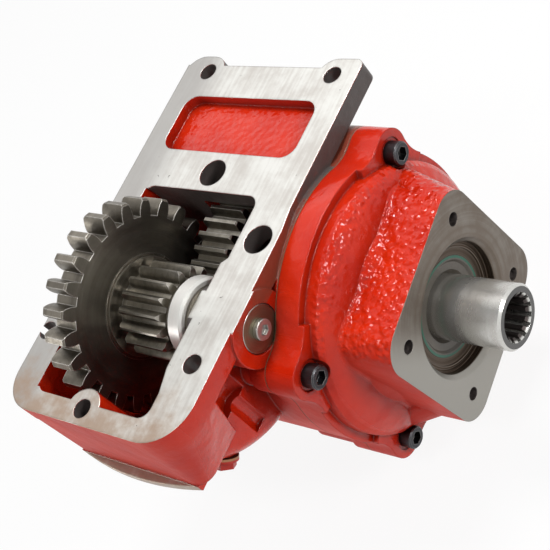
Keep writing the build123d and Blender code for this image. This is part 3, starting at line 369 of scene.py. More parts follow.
class Effects:
    """Node groups that several finishes share, each built once."""

    _made: dict[Effect, Tree] = {}

    @classmethod
    def _group(cls, effect: Effect, inputs: dict[str, float], outputs: list[str]) -> tuple:
        """Starts a group with number sockets.

        Args:
            effect: the effect that the group makes.
            inputs: the input sockets and their first values.
            outputs: the output sockets.

        Returns:
            The tree, its graph, the sockets it starts from and the sockets it ends in.
        """
        tree = bpy.data.node_groups.new(effect.value, "ShaderNodeTree")
        for label, value in inputs.items():
            socket = tree.interface.new_socket(label, in_out="INPUT", socket_type="NodeSocketFloat")
            socket.default_value = value
        for label in outputs:
            tree.interface.new_socket(label, in_out="OUTPUT", socket_type="NodeSocketFloat")
        graph = Graph(tree)
        start = graph.add("NodeGroupInput").outputs
        return tree, graph, start, graph.add("NodeGroupOutput").inputs

    @classmethod
    def _cast_skin(cls) -> Tree:
        """Builds the sand cast skin: lumps, pores and a slow mottle."""
        tree, graph, start, end = cls._group(
            Effect.CAST_SKIN, {"Grain": 260.0, "Pores": 0.3}, ["Height", "Mottle"]
        )
        lumps = graph.noise(start["Grain"], detail=4.0, roughness=0.6)
        fine_scale = graph.scaled(start["Grain"], factor=3.1)
        pores = graph.ramp(graph.noise(fine_scale), low=0.42, high=0.30)
        dips = graph.scaled(pores, start["Pores"])
        graph.feed(end["Height"], graph.math("SUBTRACT", lumps, dips))
        graph.feed(end["Mottle"], graph.noise(scale=28.0, detail=3.0))
        return tree

    @classmethod
    def _orange_peel(cls) -> Tree:
        """Builds the coarse skin of a rough core under thick paint: round bumps close together."""
        tree, graph, start, end = cls._group(Effect.ORANGE_PEEL, {"Grain": 300.0}, ["Height"])
        cells = graph.add("ShaderNodeTexVoronoi", feature="SMOOTH_F1")
        wobble = graph.scaled(graph.noise(scale=90.0), factor=0.004)
        shifted = graph.add("ShaderNodeVectorMath", operation="ADD")
        graph.feed(shifted.inputs[0], graph.place())
        graph.feed(shifted.inputs[1], graph.joined(wobble, wobble, wobble))
        graph.feed(cells.inputs["Vector"], shifted.outputs[0])
        graph.feed(cells.inputs["Scale"], start["Grain"])
        graph.feed(cells.inputs["Smoothness"], 0.7)
        bumps = graph.math("SUBTRACT", 1.0, cells.outputs["Distance"])
        graph.feed(end["Height"], graph.math("ADD", bumps, graph.noise(scale=160.0)))
        return tree

    @classmethod
    def _milled_marks(cls) -> Tree:
        """Builds milling marks: fine streaks along one axis, and stains."""
        tree, graph, start, end = cls._group(Effect.MILLED_MARKS, {"Pitch": 900.0}, ["Height", "Stain"])
        streaks = graph.noise(start["Pitch"], roughness=0.6, at=graph.along_y(stretch=0.04))
        graph.feed(end["Height"], streaks)
        slow = graph.noise(scale=32.0, detail=6.0, roughness=0.66)
        lines = graph.noise(scale=420.0, at=graph.along_y(stretch=0.06))
        graph.feed(end["Stain"], graph.level(share=0.3, first=slow, second=lines))
        return tree

    @classmethod
    def _turned_marks(cls) -> Tree:
        """Builds lathe marks: rings about a shaft and rings on its end faces, and stains."""
        values = {"Pitch": 1500.0, "Centre Y": 0.0, "Centre Z": 0.0}
        tree, graph, start, end = cls._group(Effect.TURNED_MARKS, values, ["Height", "Stain"])
        along_x, _, _ = graph.parts(graph.place())
        radius = graph.radius_about(start["Centre Y"], start["Centre Z"])
        path = graph.joined(along_x, radius)
        graph.feed(end["Height"], graph.noise(start["Pitch"], roughness=0.6, at=path))
        bands = graph.noise(scale=260.0, detail=3.0, roughness=0.6, at=path)
        clouds = graph.noise(scale=60.0, detail=5.0, roughness=0.6)
        graph.feed(end["Stain"], graph.level(share=0.5, first=clouds, second=bands))
        return tree

    @classmethod
    def _edge_rub(cls) -> Tree:
        """Builds a mask of sharp edges, broken up by noise."""
        values = {"Width": 0.0008, "Breakup": 0.5}
        tree, graph, start, end = cls._group(Effect.EDGE_RUB, values, ["Mask"])
        bevel = graph.add("ShaderNodeBevel", samples=6)
        graph.feed(bevel.inputs["Radius"], start["Width"])
        surface = graph.add("ShaderNodeNewGeometry")
        turn = graph.add("ShaderNodeVectorMath", operation="DOT_PRODUCT")
        graph.feed(turn.inputs[0], bevel.outputs["Normal"])
        graph.feed(turn.inputs[1], surface.outputs["Normal"])
        sharp = graph.ramp(turn.outputs["Value"], low=0.995, high=0.90)
        spots = graph.noise(scale=160.0, detail=4.0, roughness=0.6)
        patchy = graph.scaled(spots, start["Breakup"])
        graph.feed(end["Mask"], graph.math("SUBTRACT", sharp, patchy, clamp=True))
        return tree

    @classmethod
    def _painted_corner_shade(cls) -> Tree:
        """Builds a mask of inner corners from ambient occlusion, for painted shade."""
        tree, graph, start, end = cls._group(Effect.PAINTED_CORNER_SHADE, {"Reach": 0.012}, ["Mask"])
        shade = graph.add("ShaderNodeAmbientOcclusion", samples=4)
        graph.feed(shade.inputs["Distance"], start["Reach"])
        graph.feed(end["Mask"], graph.ramp(shade.outputs["AO"], low=0.92, high=0.35))
        return tree

    @classmethod
    def put(cls, graph: Graph, effect: Effect, **values: float) -> Outputs:
        """Places a shared effect in a material.

        Args:
            graph: the material's graph.
            effect: the effect, which the method of its name builds.
            values: its input values, with underscores for spaces.

        Returns:
            The effect's output sockets by name.
        """
        if effect not in cls._made:
            cls._made[effect] = getattr(cls, f"_{effect.value}")()
        node = graph.add("ShaderNodeGroup", node_tree=cls._made[effect])
        for label, value in values.items():
            graph.feed(node.inputs[label.replace("_", " ")], value)
        return node.outputs

    @classmethod
    def turned(cls, graph: Graph, axis: Place, pitch: float = 1700.0) -> Outputs:
        """Places lathe marks about an axis, given by its y and z."""
        return cls.put(graph, Effect.TURNED_MARKS, Pitch=pitch, Centre_Y=axis[0], Centre_Z=axis[1])


class Finish:
    """A material with one Principled shader."""

    def __init__(self, name: str, specular: float = 0.5) -> None:
        """Starts an empty material.

        Args:
            name: the material's name.
            specular: strength of its plain gloss.
        """
        self.material = bpy.data.materials.new(name)
        self.material.use_nodes = True
        self.graph = Graph(self.material.node_tree)
        self.shader = self.material.node_tree.nodes["Principled BSDF"]
        self.shader.inputs["Specular IOR Level"].default_value = specular

    def set(self, **values: object) -> None:
        """Sets or links sockets of the shader, with underscores for spaces."""
        for name, value in values.items():
            self.graph.feed(self.shader.inputs[name.replace("_", " ")], value)

    def relief(
        self, height: object, depth: float, strength: float = 0.3, soft_edge: float = 0.0
    ) -> None:
        """Gives the shader its surface relief.

        Args:
            height: the height's socket.
            depth: how deep the relief is.
            strength: the share of the relief that shows.
            soft_edge: radius that sharp edges are shaded with, or 0.
        """
        bump = self.graph.add("ShaderNodeBump")
        bump.inputs["Strength"].default_value = strength
        bump.inputs["Distance"].default_value = depth
        self.graph.feed(bump.inputs["Height"], height)
        if soft_edge:
            bevel = self.graph.add("ShaderNodeBevel", samples=8)
            bevel.inputs["Radius"].default_value = soft_edge
            self.graph.feed(bump.inputs["Normal"], bevel.outputs["Normal"])
        self.graph.feed(self.shader.inputs["Normal"], bump.outputs["Normal"])


@dataclass(frozen=True)
class Tones:
    """Colours of the finishes, linear."""

    red: Colour = (0.60, 0.023, 0.003)
    red_deep: Colour = (0.50, 0.014, 0.002)
    # painted shade for the paint in inner corners
    red_shade: Colour = (0.14, 0.005, 0.001)
    # thin paint on the flange's edge, also painted shade under its far end
    overspray_and_shade: Colour = (0.19, 0.048, 0.028)
    milled: Colour = (0.62, 0.615, 0.585)
    milled_stain: Colour = (0.47, 0.445, 0.415)
    milled_left: Colour = (0.33, 0.318, 0.305)
    milled_rust: Colour = (0.33, 0.225, 0.155)
    pump_face: Colour = (0.16, 0.130, 0.105)
    # painted reflection on the pump face's lower side, also lighter turned rings
    pump_face_painted_light_and_rings: Colour = (0.33, 0.315, 0.285)
    # dull bare iron, also painted shade in holes, the shaft's bore and the chamber
    dark_iron_and_shade: Colour = (0.075, 0.062, 0.058)
    # painted shade in the pump recess
    recess_painted_shade: Colour = (0.040, 0.022, 0.011)
    gear_face: Colour = (0.15, 0.138, 0.115)
    gear_flank: Colour = (0.19, 0.17, 0.14)
    pinion: Colour = (0.34, 0.315, 0.27)
    ground: Colour = (0.56, 0.54, 0.51)
    end_grey: Colour = (0.11, 0.108, 0.105)
    axle_end: Colour = (0.25, 0.225, 0.155)
    oxide: Colour = (0.055, 0.055, 0.060)
    seal_green: Colour = (0.010, 0.10, 0.060)
    seal_brown: Colour = (0.12, 0.105, 0.085)
    seal_shade: Colour = (0.055, 0.045, 0.034)
    gasket: Colour = (0.10, 0.075, 0.035)
    brass: Colour = (0.48, 0.29, 0.10)
    copper: Colour = (0.42, 0.20, 0.11)
    rubber: Colour = (0.010, 0.010, 0.010)


@dataclass(frozen=True)
class CastMasks:
    """Where a casting isn't plainly painted.

    Args:
        bare: where the machined metal is.
        dark: where dull bare iron is, and where shade is painted dark.
        sprayed_and_shaded: where thin paint covers dark iron, and where shade is painted under the
            flange's far end.
        coarse: where the skin is as rough as its core was.
    """

    bare: object
    dark: object
    sprayed_and_shaded: object
    coarse: object


class CastPaint:
    """Glossy red enamel over cast iron, with bare machined places."""

    def __init__(self, name: str, tones: Tones) -> None:
        """Starts the finish.

        Args:
            name: the material's name.
            tones: the colours.
        """
        self.finish = Finish(name, specular=0.35)
        self.graph = self.finish.graph
        self.tones = tones
        self.skin = Effects.put(self.graph, Effect.CAST_SKIN, Grain=230.0, Pores=0.25)

    def _colour(self, sprayed_and_shaded: object) -> Socket:
        """Gives the paint's colour, darker in patches, with painted shade in the corners.

        Args:
            sprayed_and_shaded: where thin paint covers dark iron, and where shade is painted under the
                flange's far end.

        Returns:
            The colour's socket.
        """
        graph, tones = self.graph, self.tones
        corner = Effects.put(graph, Effect.PAINTED_CORNER_SHADE, Reach=0.020)
        patches = graph.ramp(self.skin["Mottle"], low=0.30, high=0.75)
        paint = graph.blend(patches, tones.red_deep, tones.red)
        # painted shade: inner corners darkened by ambient occlusion
        painted_shade_share = graph.scaled(corner["Mask"], factor=0.85)
        paint = graph.blend(painted_shade_share, paint, tones.red_shade)
        # thin paint on the flange's edge, and painted shade on the wall under its far end
        return graph.blend(sprayed_and_shaded, paint, tones.overspray_and_shade)

    def _roughness(self) -> Socket:
        """Gives the paint's roughness."""
        graph = self.graph
        _, towards_y, _ = graph.parts(graph.facing())
        gloss = graph.level(self.skin["Mottle"], first=0.12, second=0.20)
        return graph.level(graph.ramp(towards_y, low=-0.35, high=-0.75), first=gloss, second=0.55)

    def _height(self, coarse: object) -> Socket:
        """Gives the paint's relief.

        Args:
            coarse: where the skin is as rough as its core was.

        Returns:
            The height's socket.
        """
        graph = self.graph
        peel = Effects.put(graph, Effect.ORANGE_PEEL, Grain=250.0)
        fine = graph.scaled(self.skin["Height"], factor=0.22)
        waves = graph.scaled(graph.noise(scale=60.0), factor=1.6)
        fine = graph.math("ADD", fine, waves)
        return graph.level(coarse, fine, graph.scaled(peel["Height"], factor=1.6))

    def dress(self, masks: CastMasks, metal: object) -> Material:
        """Joins paint, metal and relief by their masks.

        Args:
            masks: where the casting isn't plainly painted.
            metal: the machined metal's colour.

        Returns:
            The finished material.
        """
        graph = self.graph
        painted = graph.blend(masks.dark, self._colour(masks.sprayed_and_shaded), self.tones.dark_iron_and_shade)
        bare_and_darkened = graph.either(masks.bare, masks.dark)
        self.finish.set(
            Base_Color=graph.blend(masks.bare, painted, metal),
            Metallic=graph.scaled(masks.bare, factor=0.9),
            Roughness=graph.level(bare_and_darkened, first=self._roughness(), second=0.40),
        )
        marks = Effects.put(graph, Effect.MILLED_MARKS, Pitch=MILLING_PITCH)
        metal_height = graph.scaled(marks["Height"], factor=0.05)
        height = graph.level(masks.bare, self._height(masks.coarse), metal_height)
        self.finish.relief(height, depth=0.0011, strength=0.8, soft_edge=0.0014)
        return self.finish.material


class HousingPlaces:
    """Masks of the places on the main casting that aren't plainly painted."""

    def __init__(self, graph: Graph, place: Layout) -> None:
        """Makes what several of the masks use."""
        self.graph = graph
        self.place = place
        self.x, self.y, self.z = graph.parts(graph.place())
        _, self.towards_y, self.up = graph.parts(graph.facing())
        noise = graph.noise(scale=75.0, detail=4.0, roughness=0.6)
        ragged = graph.scaled(graph.math("SUBTRACT", noise, 0.5), factor=0.09)
        self.drift = graph.math("ADD", self.y, ragged)
        offset = graph.math("SUBTRACT", self.x, place.flange_middle_x)
        self.across = graph.math("ABSOLUTE", offset)
        self.below_face = graph.ramp(self.z, *place.below_face_z)
        self.outside = graph.either(
            graph.ramp(self.across, *place.flange_side), graph.ramp(self.y, *place.flange_end)
        )
        self.edge = graph.both(self.outside, self.below_face, graph.ramp(self.z, *place.flange_low_z))

    def _bare(self) -> Socket:
        """Masks the machined mounting face and the lip at the bottom."""
        graph, place = self.graph, self.place
        face = graph.both(graph.ramp(self.z, *place.face_z), graph.ramp(self.up, *FLAT))
        lip = graph.both(
            graph.ramp(self.y, *place.lip_side_y),
            graph.ramp(self.z, *place.lip_top_z),
            graph.ramp(self.z, *place.lip_low_z),
        )
        return graph.either(face, lip)

    def _dark(self) -> Socket:
        """Masks dull iron on the far edge, and painted shade on the window's top wall, in the holes and
        on the inner boss.
        """
        graph, place = self.graph, self.place
        far_edge = graph.both(self.edge, graph.ramp(self.drift, *place.dark_edge_y))
        # painted shade on the window's top wall, which faces down inside the chamber
        window_top = graph.both(
            graph.ramp(self.across, *place.window_side),
            graph.ramp(self.y, *place.window_start_y),
            graph.ramp(self.y, *place.window_stop_y),
            graph.ramp(self.towards_y, low=-0.1, high=-0.5),
            self.below_face,
        )
        # painted shade in the holes
        holes = graph.both(
            graph.either(
                graph.near_holes(place.mount_holes, place.mount_hole_radius),
                graph.near_holes(place.oil_holes, place.oil_hole_radius),
            ),
            self.below_face,
            graph.ramp(self.z, *place.oil_hole_low_z),
        )
        # painted shade on the inner boss inside the chamber
        boss = graph.both(
            graph.ramp(graph.radius_about(*place.idler_axis), *place.boss_radius),
            graph.ramp(self.x, *place.boss_start_x),
            graph.ramp(self.x, *place.boss_stop_x),
        )
        return graph.either(far_edge, window_top, holes, boss)

    def _sprayed_and_shaded(self) -> Socket:
        """Masks thin paint on the middle of the flange's edge, and painted shade on the wall under its
        far end.
        """
        graph, place = self.graph, self.place
        middle_edge = graph.both(self.edge, graph.ramp(self.drift, *place.sprayed_edge_y))
        # painted shade: the wall under the flange's far end is darkened
        shade_under_edge = graph.both(
            self.outside,
            graph.ramp(self.z, *place.under_edge_z),
            self.below_face,
            graph.ramp(self.drift, *place.under_edge_y),
        )
        return graph.scaled(graph.either(middle_edge, shade_under_edge), factor=0.9)

    def _coarse(self) -> Socket:
        """Masks the rough floor of the pocket in the mounting face."""
        graph, place = self.graph, self.place
        pocket = graph.both(
            graph.ramp(self.y, *place.pocket_y),
            graph.ramp(self.z, *place.pocket_z),
            self.below_face,
            graph.ramp(self.up, *FLAT),
        )
        return graph.scaled(pocket, factor=0.35)

    def masks(self) -> CastMasks:
        """Gives all the masks."""
        return CastMasks(
            bare=self._bare(), dark=self._dark(), sprayed_and_shaded=self._sprayed_and_shaded(), coarse=self._coarse()
        )


class Palette:
    """Builds every finish of the unit."""

    light_stain: Span = (0.36, 0.62)
    steel_stain: Span = (0.38, 0.64)
    dull_grain: float = 420.0

    def __init__(self, tones: Tones, layout: Layout) -> None:
        """Keeps the colours and the places."""
        self.tones = tones
        self.layout = layout

    def housing(self) -> Material:
        """Builds the main casting's finish: paint, and a machined mounting face."""
        work = CastPaint("housing_paint", self.tones)
        graph, place, tones = work.graph, self.layout, self.tones
        places = HousingPlaces(graph, place)
        marks = Effects.put(graph, Effect.MILLED_MARKS, Pitch=MILLING_PITCH)
        stained = graph.ramp(marks["Stain"], *self.light_stain)
        metal = graph.blend(stained, tones.milled_stain, tones.milled)
        # the mounting face is darker towards the left (-X)
        left = graph.scaled(graph.ramp(places.x, *place.darker_left_x), factor=0.85)
        metal = graph.blend(left, metal, tones.milled_left)
        rust = graph.scaled(graph.ramp(places.drift, *place.rusty_low_y), factor=0.8)
        metal = graph.blend(rust, metal, tones.milled_rust)
        specks = graph.scaled(self._specks(graph), factor=0.8)
        metal = graph.blend(specks, metal, tones.dark_iron_and_shade)
        return work.dress(places.masks(), metal)

    def _specks(self, graph: Graph) -> Socket:
        """Gives a mask of small rare dark marks."""
        spots = graph.ramp(graph.noise(scale=210.0), low=0.70, high=0.74)
        rare = graph.ramp(graph.noise(scale=30.0, detail=3.0, roughness=0.55), low=0.5, high=0.6)
        return graph.both(spots, rare)

    def _pump_face(self, graph: Graph, deep: Socket) -> Socket:
        """Gives the colour of the turned pump face, lighter towards its lower side as a painted
        reflection, with painted shade in rings in the recess.

        Args:
            graph: the cover's graph.
            deep: where the recess lies deeper than its chamfer.

        Returns:
            The colour's socket.
        """
        place, tones = self.layout, self.tones
        _, along_y, along_z = graph.parts(graph.place())
        marks = Effects.turned(graph, place.output_axis, pitch=1500.0)
        # painted reflection: the face gets lighter towards -Y and -Z, its lower side as seen
        toward_lower_side = graph.math(
            "ADD",
            graph.scaled(along_y, factor=-0.85),
            graph.scaled(along_z, factor=-0.52),
        )
        light = graph.ramp(toward_lower_side, *place.pump_painted_light_low)
        metal = graph.blend(light, tones.pump_face, tones.pump_face_painted_light_and_rings)
        ringed = graph.scaled(graph.ramp(marks["Stain"], low=0.42, high=0.70), factor=0.45)
        metal = graph.blend(ringed, metal, tones.pump_face_painted_light_and_rings)
        # painted shade: the deep recess is darkened in rings between lighter turned rings
        rings = graph.ramp(marks["Height"], low=0.35, high=0.70)
        rings = graph.blend(rings, tones.recess_painted_shade, tones.pump_face)
        return graph.blend(deep, metal, rings)

    def cover(self) -> Material:
        """Builds the end cover's finish: paint, and a machined pump face and recess."""
        work = CastPaint("cover_paint", self.tones)
        graph, place = work.graph, self.layout
        along_x, _, _ = graph.parts(graph.place())
        towards_x, _, upward = graph.parts(graph.facing())
        face = graph.both(
            graph.ramp(along_x, *place.pump_face_start_x), graph.ramp(towards_x, *FLAT)
        )
        recess = graph.both(
            graph.ramp(graph.radius_about(*place.output_axis), *place.recess_radius),
            graph.ramp(along_x, *place.recess_start_x),
        )
        deep = graph.both(recess, graph.ramp(along_x, *place.below_chamfer_x))
        column = graph.both(
            graph.ramp(along_x, *place.column_start_x), graph.ramp(upward, low=0.25, high=0.55)
        )
        # painted shade in the pump flange's holes
        holes = graph.both(
            graph.near_holes(place.pump_holes, place.pump_hole_radius, along_x=True),
            graph.ramp(along_x, *place.pump_hole_start_x),
        )
        masks = CastMasks(bare=graph.either(face, recess), dark=holes, sprayed_and_shaded=0.0, coarse=column)
        return work.dress(masks, self._pump_face(graph, deep))

    def steel(
        self,
        name: str,
        tone: Colour,
        axis: Place,
        roughness: float,
        end_tone: Colour | None = None,
        edge: float = 0.0,
    ) -> Material:
        """Builds a turned or ground steel finish.

        Args:
            name: the material's name.
            tone: its colour.
            axis: y and z of the axis it was turned about.
            roughness: its roughness.
            end_tone: the colour of the faces square to the shafts, where it differs.
            edge: width of the bright rubbed edges, or 0 for none.

        Returns:
            The material.
        """
        finish = Finish(name)
        graph = finish.graph
        pattern = Effects.turned(graph, axis)
        stain = graph.ramp(pattern["Stain"], *self.steel_stain)
        colour = graph.blend(stain, darker(tone, share=0.68), tone)
        if end_tone is not None:
            ends = graph.blend(stain, darker(end_tone, share=0.7), end_tone)
            colour = graph.blend(graph.end_faces(), colour, ends)
        if edge:
            rub = Effects.put(graph, Effect.EDGE_RUB, Width=edge, Breakup=0.6)
            colour = graph.blend(rub["Mask"], colour, self.tones.ground)
        finish.set(
            Base_Color=colour,
            Metallic=1.0,
            Roughness=graph.level(stain, roughness + 0.10, roughness),
        )
        finish.relief(pattern["Height"], depth=0.00025, strength=0.35, soft_edge=0.0005)
        return finish.material

    def pinion(self) -> Material:
        """Builds the pinion's finish: dark teeth with bright edges and a ground collar."""
        place, tones = self.layout, self.tones
        finish = Finish("pinion_steel")
        graph = finish.graph
        along_x, _, _ = graph.parts(graph.place())
        pattern = Effects.turned(graph, place.idler_axis)
        rub = Effects.put(graph, Effect.EDGE_RUB, Width=0.0009, Breakup=0.5)
        collar = graph.ramp(along_x, *place.collar_start_x)
        stain = graph.ramp(pattern["Stain"], *self.steel_stain)
        dark = graph.blend(stain, darker(tones.pinion, share=0.6), tones.pinion)
        dark = graph.blend(rub["Mask"], dark, tones.ground)
        bright = graph.blend(stain, tones.ground, tones.milled)
        worn = graph.level(stain, first=0.36, second=0.28)
        finish.set(
            Base_Color=graph.blend(collar, dark, bright),
            Metallic=graph.level(collar, first=1.0, second=0.30),
            Roughness=graph.level(collar, first=worn, second=0.36),
        )
        finish.relief(pattern["Height"], depth=0.00015)
        return finish.material

    def shaft(self) -> Material:
        """Builds the output shaft's finish: a ground journal, a grey end and a bore painted dark as
        shade.
        """
        place, tones = self.layout, self.tones
        finish = Finish("shaft_steel")
        graph = finish.graph
        along_x, _, _ = graph.parts(graph.place())
        pattern = Effects.turned(graph, place.output_axis, pitch=3200.0)
        stain = graph.ramp(pattern["Stain"], *self.light_stain)
        ground = graph.blend(stain, tones.ground, tones.milled)
        # painted shade: the spline bore is darkened
        bore = graph.both(
            graph.ramp(graph.radius_about(*place.output_axis), *place.shaft_bore_radius),
            graph.ramp(along_x, *place.shaft_bore_start_x),
            graph.ramp(along_x, *place.shaft_bore_stop_x),
        )
        colour = graph.blend(graph.end_faces(), ground, tones.end_grey)
        polish = graph.level(stain, first=0.28, second=0.20)
        finish.set(
            Base_Color=graph.blend(bore, colour, tones.dark_iron_and_shade),
            Metallic=0.82,
            Roughness=graph.level(bore, first=polish, second=0.5),
        )
        finish.relief(pattern["Height"], depth=0.00010)
        return finish.material

    def seal(self) -> Material:
        """Builds the shaft seal's finish: a green rim round a dark lip."""
        place, tones = self.layout, self.tones
        finish = Finish("seal_rubber")
        graph = finish.graph
        grain = graph.noise(self.dull_grain, detail=4.0, roughness=0.6)
        rim = graph.ramp(graph.radius_about(*place.output_axis), *place.seal_rim_radius)
        lip = graph.blend(grain, tones.seal_shade, tones.seal_brown)
        finish.set(
            Base_Color=graph.blend(rim, lip, tones.seal_green),
            Roughness=graph.level(grain, first=0.30, second=0.48),
        )
        finish.relief(grain, depth=0.0002)
        return finish.material

    def oxide(self, name: str) -> Material:
        """Builds black oxide with edges rubbed bright.

        Args:
            name: the material's name.

        Returns:
            The material.
        """
        finish = Finish(name)
        graph = finish.graph
        rub = Effects.put(graph, Effect.EDGE_RUB, Width=0.0009, Breakup=0.5)
        grain = graph.noise(scale=600.0, detail=3.0, roughness=0.6)
        worn = graph.scaled(rub["Mask"], factor=0.45)
        finish.set(
            Base_Color=graph.blend(worn, self.tones.oxide, self.tones.ground),
            Metallic=1.0,
            Roughness=graph.level(grain, first=0.28, second=0.46),
        )
        finish.relief(grain, depth=0.0002, soft_edge=0.0004)
        return finish.material

    def plain(self, name: str, tone: Colour, roughness: float, metallic: float = 0.0) -> Material:
        """Builds a finish for rubber, fibre and hidden pieces.

        Args:
            name: the material's name.
            tone: its colour.
            roughness: its roughness.
            metallic: 1 for metal.

        Returns:
            The material.
        """
        finish = Finish(name)
        graph = finish.graph
        grain = graph.noise(self.dull_grain, detail=4.0, roughness=0.6)
        finish.set(
            Base_Color=graph.blend(grain, darker(tone, share=0.7), tone),
            Metallic=metallic,
            Roughness=graph.level(grain, roughness - 0.06, roughness + 0.08),
        )
        finish.relief(grain, depth=0.0002)
        return finish.material


@dataclass(frozen=True)
class TrimmedHousing:
    """The main casting with nothing above its mounting face and no slot behind its lip.

    Args:
        node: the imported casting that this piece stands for.
        body: the body that it rides on.
        spot: x and y of the spot face under the bottom bolt.
        spot_radius: its radius.
        wall_y: the long wall that the spot face stays behind.
        spot_top_z: the spot face's top.
        near: how near a corner point lies to the spot face's wall.
        weld: distance at which doubled points are merged.
        crease: angle from which an edge stays sharp.
    """

    node: str = "main_housing"
    body: str = "housing"
    spot: Place = Layout.bottom_hole
    spot_radius: float = 11.5 * MM
    wall_y: float = Layout.wall_y
    spot_top_z: float = -59.9 * MM
    near: float = 0.1 * MM
    weld: float = 0.001 * MM
    crease: float = 0.5

    def _on_spot_wall(self, point: Vector) -> bool:
        """Tells whether a point lies on the spot face's wall, beyond the long wall."""
        away = Vector((point.x - self.spot[0], point.y - self.spot[1])).length
        beyond = point.z < self.spot_top_z and point.y < self.wall_y
        return beyond and abs(away - self.spot_radius) < self.near

    def build(self, packed: bpy.types.Object) -> bpy.types.Object:
        """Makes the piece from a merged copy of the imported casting.

        Args:
            packed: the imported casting.

        Returns:
            The new piece, riding on the casting's body.
        """
        shape = bmesh.new()
        shape.from_mesh(packed.data)
        bmesh.ops.remove_doubles(shape, verts=shape.verts, dist=self.weld)
        for corner in shape.verts:
            corner.co.z = min(corner.co.z, 0.0)
            if self._on_spot_wall(corner.co):
                corner.co.y = self.wall_y
        bmesh.ops.dissolve_degenerate(shape, dist=self.weld, edges=shape.edges)
        mesh = bpy.data.meshes.new("housing_casting")
        shape.to_mesh(mesh)
        shape.free()
        if "custom_normal" in mesh.attributes:
            mesh.attributes.remove(mesh.attributes["custom_normal"])
        mesh.shade_smooth()
        mesh.set_sharp_from_angle(angle=self.crease)
        piece = bpy.data.objects.new("housing_casting", mesh)
        bpy.context.scene.collection.objects.link(piece)
        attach(piece, self.body)
        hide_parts(self.node)
        LOG.info("trimmed %s into %s", self.node, piece.name)
        return piece


class Wardrobe:
    """Puts finishes on the CAD nodes."""

    def __init__(self, nodes: dict[str, bpy.types.Object], palette: Palette) -> None:
        """Keeps the nodes and the palette.

        Args:
            nodes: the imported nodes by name.
            palette: the finishes.
        """
        self.nodes = nodes
        self.palette = palette
        self.tones = palette.tones
        self.layout = palette.layout

    def wear(self, material: Material, *names: str) -> None:
        """Puts one material on some nodes.

        Args:
            material: the finish.
            names: the nodes.
        """
        for name in names:
            slots = self.nodes[name].data.materials
            slots.clear()
            slots.append(material)
            LOG.info("dressed %s in %s", name, material.name)

    def castings(self) -> None:
        """Dresses the two castings and what lies between and on them."""
        palette, tones = self.palette, self.tones
        finish = palette.housing()
        self.wear(finish, "main_housing")
        casting = TrimmedHousing().build(self.nodes["main_housing"])
        casting.data.materials.clear()
        casting.data.materials.append(finish)
        self.wear(palette.cover(), "end_cover")
        self.wear(palette.plain("gasket_sheet", tones.gasket, roughness=0.7), "cover_gasket")
        self.wear(palette.oxide("screw_oxide"), "cover_screws")
        self.wear(palette.plain("painted_plug", tones.red_deep, roughness=0.4), "drain_plug")
        copper = palette.plain("copper", tones.copper, roughness=0.35, metallic=1.0)
        self.wear(copper, "drain_washer")
        self.wear(palette.seal(), "shaft_seal")

    def cluster(self) -> None:
        """Dresses the input gear's axle and what turns on it."""
        tones, axis, steel = self.tones, self.layout.idler_axis, self.palette.steel
        axle = steel("axle_steel", tones.ground, axis, roughness=0.3, end_tone=tones.axle_end)
        self.wear(axle, "idler_axle")
        self.wear(steel("dull_screw", tones.ground, axis, roughness=0.32), "axle_screw")
        gear = steel(
            "gear_steel", tones.gear_flank, axis, roughness=0.34, end_tone=tones.gear_face, edge=0.0012
        )
        self.wear(gear, "input_gear")
        self.wear(self.palette.pinion(), "pinion_hub")
        self.wear(
            steel("washer_steel", tones.gear_flank, axis, roughness=0.3),
            "gear_retaining_ring",
            "thrust_washer_left",
            "thrust_washer_right",
        )
        self.wear(self.palette.plain("ring_rubber", tones.rubber, roughness=0.6), "axle_rings")

    def output(self) -> None:
        """Dresses the output shaft, its gear and its bearings."""
        tones, axis, steel = self.tones, self.layout.output_axis, self.palette.steel
        gear = steel(
            "output_gear_steel", tones.pinion, axis, roughness=0.3, end_tone=tones.gear_flank, edge=0.0009
        )
        self.wear(gear, "output_gear")
        self.wear(self.palette.shaft(), "output_shaft")
        brass = self.palette.plain("cage_brass", tones.brass, roughness=0.35, metallic=1.0)
        self.wear(brass, "front_bearing_cage", "rear_bearing_cage")
        sides, parts = ("front", "rear"), ("outer", "inner", "balls")
        bright = [f"{side}_bearing_{part}" for side in sides for part in parts]
        bright += ["needle_rollers", "needle_cages", "output_key", "spacer_sleeve"]
        self.wear(steel("bearing_steel", tones.milled, axis, roughness=0.15), *bright)
        self.wear(self.palette.oxide("spring_steel"), "shaft_circlip", "bearing_circlip")

    def dress(self) -> None:
        """Dresses every node."""
        self.castings()
        self.cluster()
        self.output()


@dataclass(frozen=True)
class Lamp:
    """One square studio lamp that points at the unit.

    Args:
        name: the lamp's name.
        place: its direction, as shares of the camera's right, up and back.
        distance: how far it stands from the unit, in metres.
        size: its side, in metres.
        power: its power in watts.
    """

    name: str
    place: Point
    distance: float
    size: float
    power: float


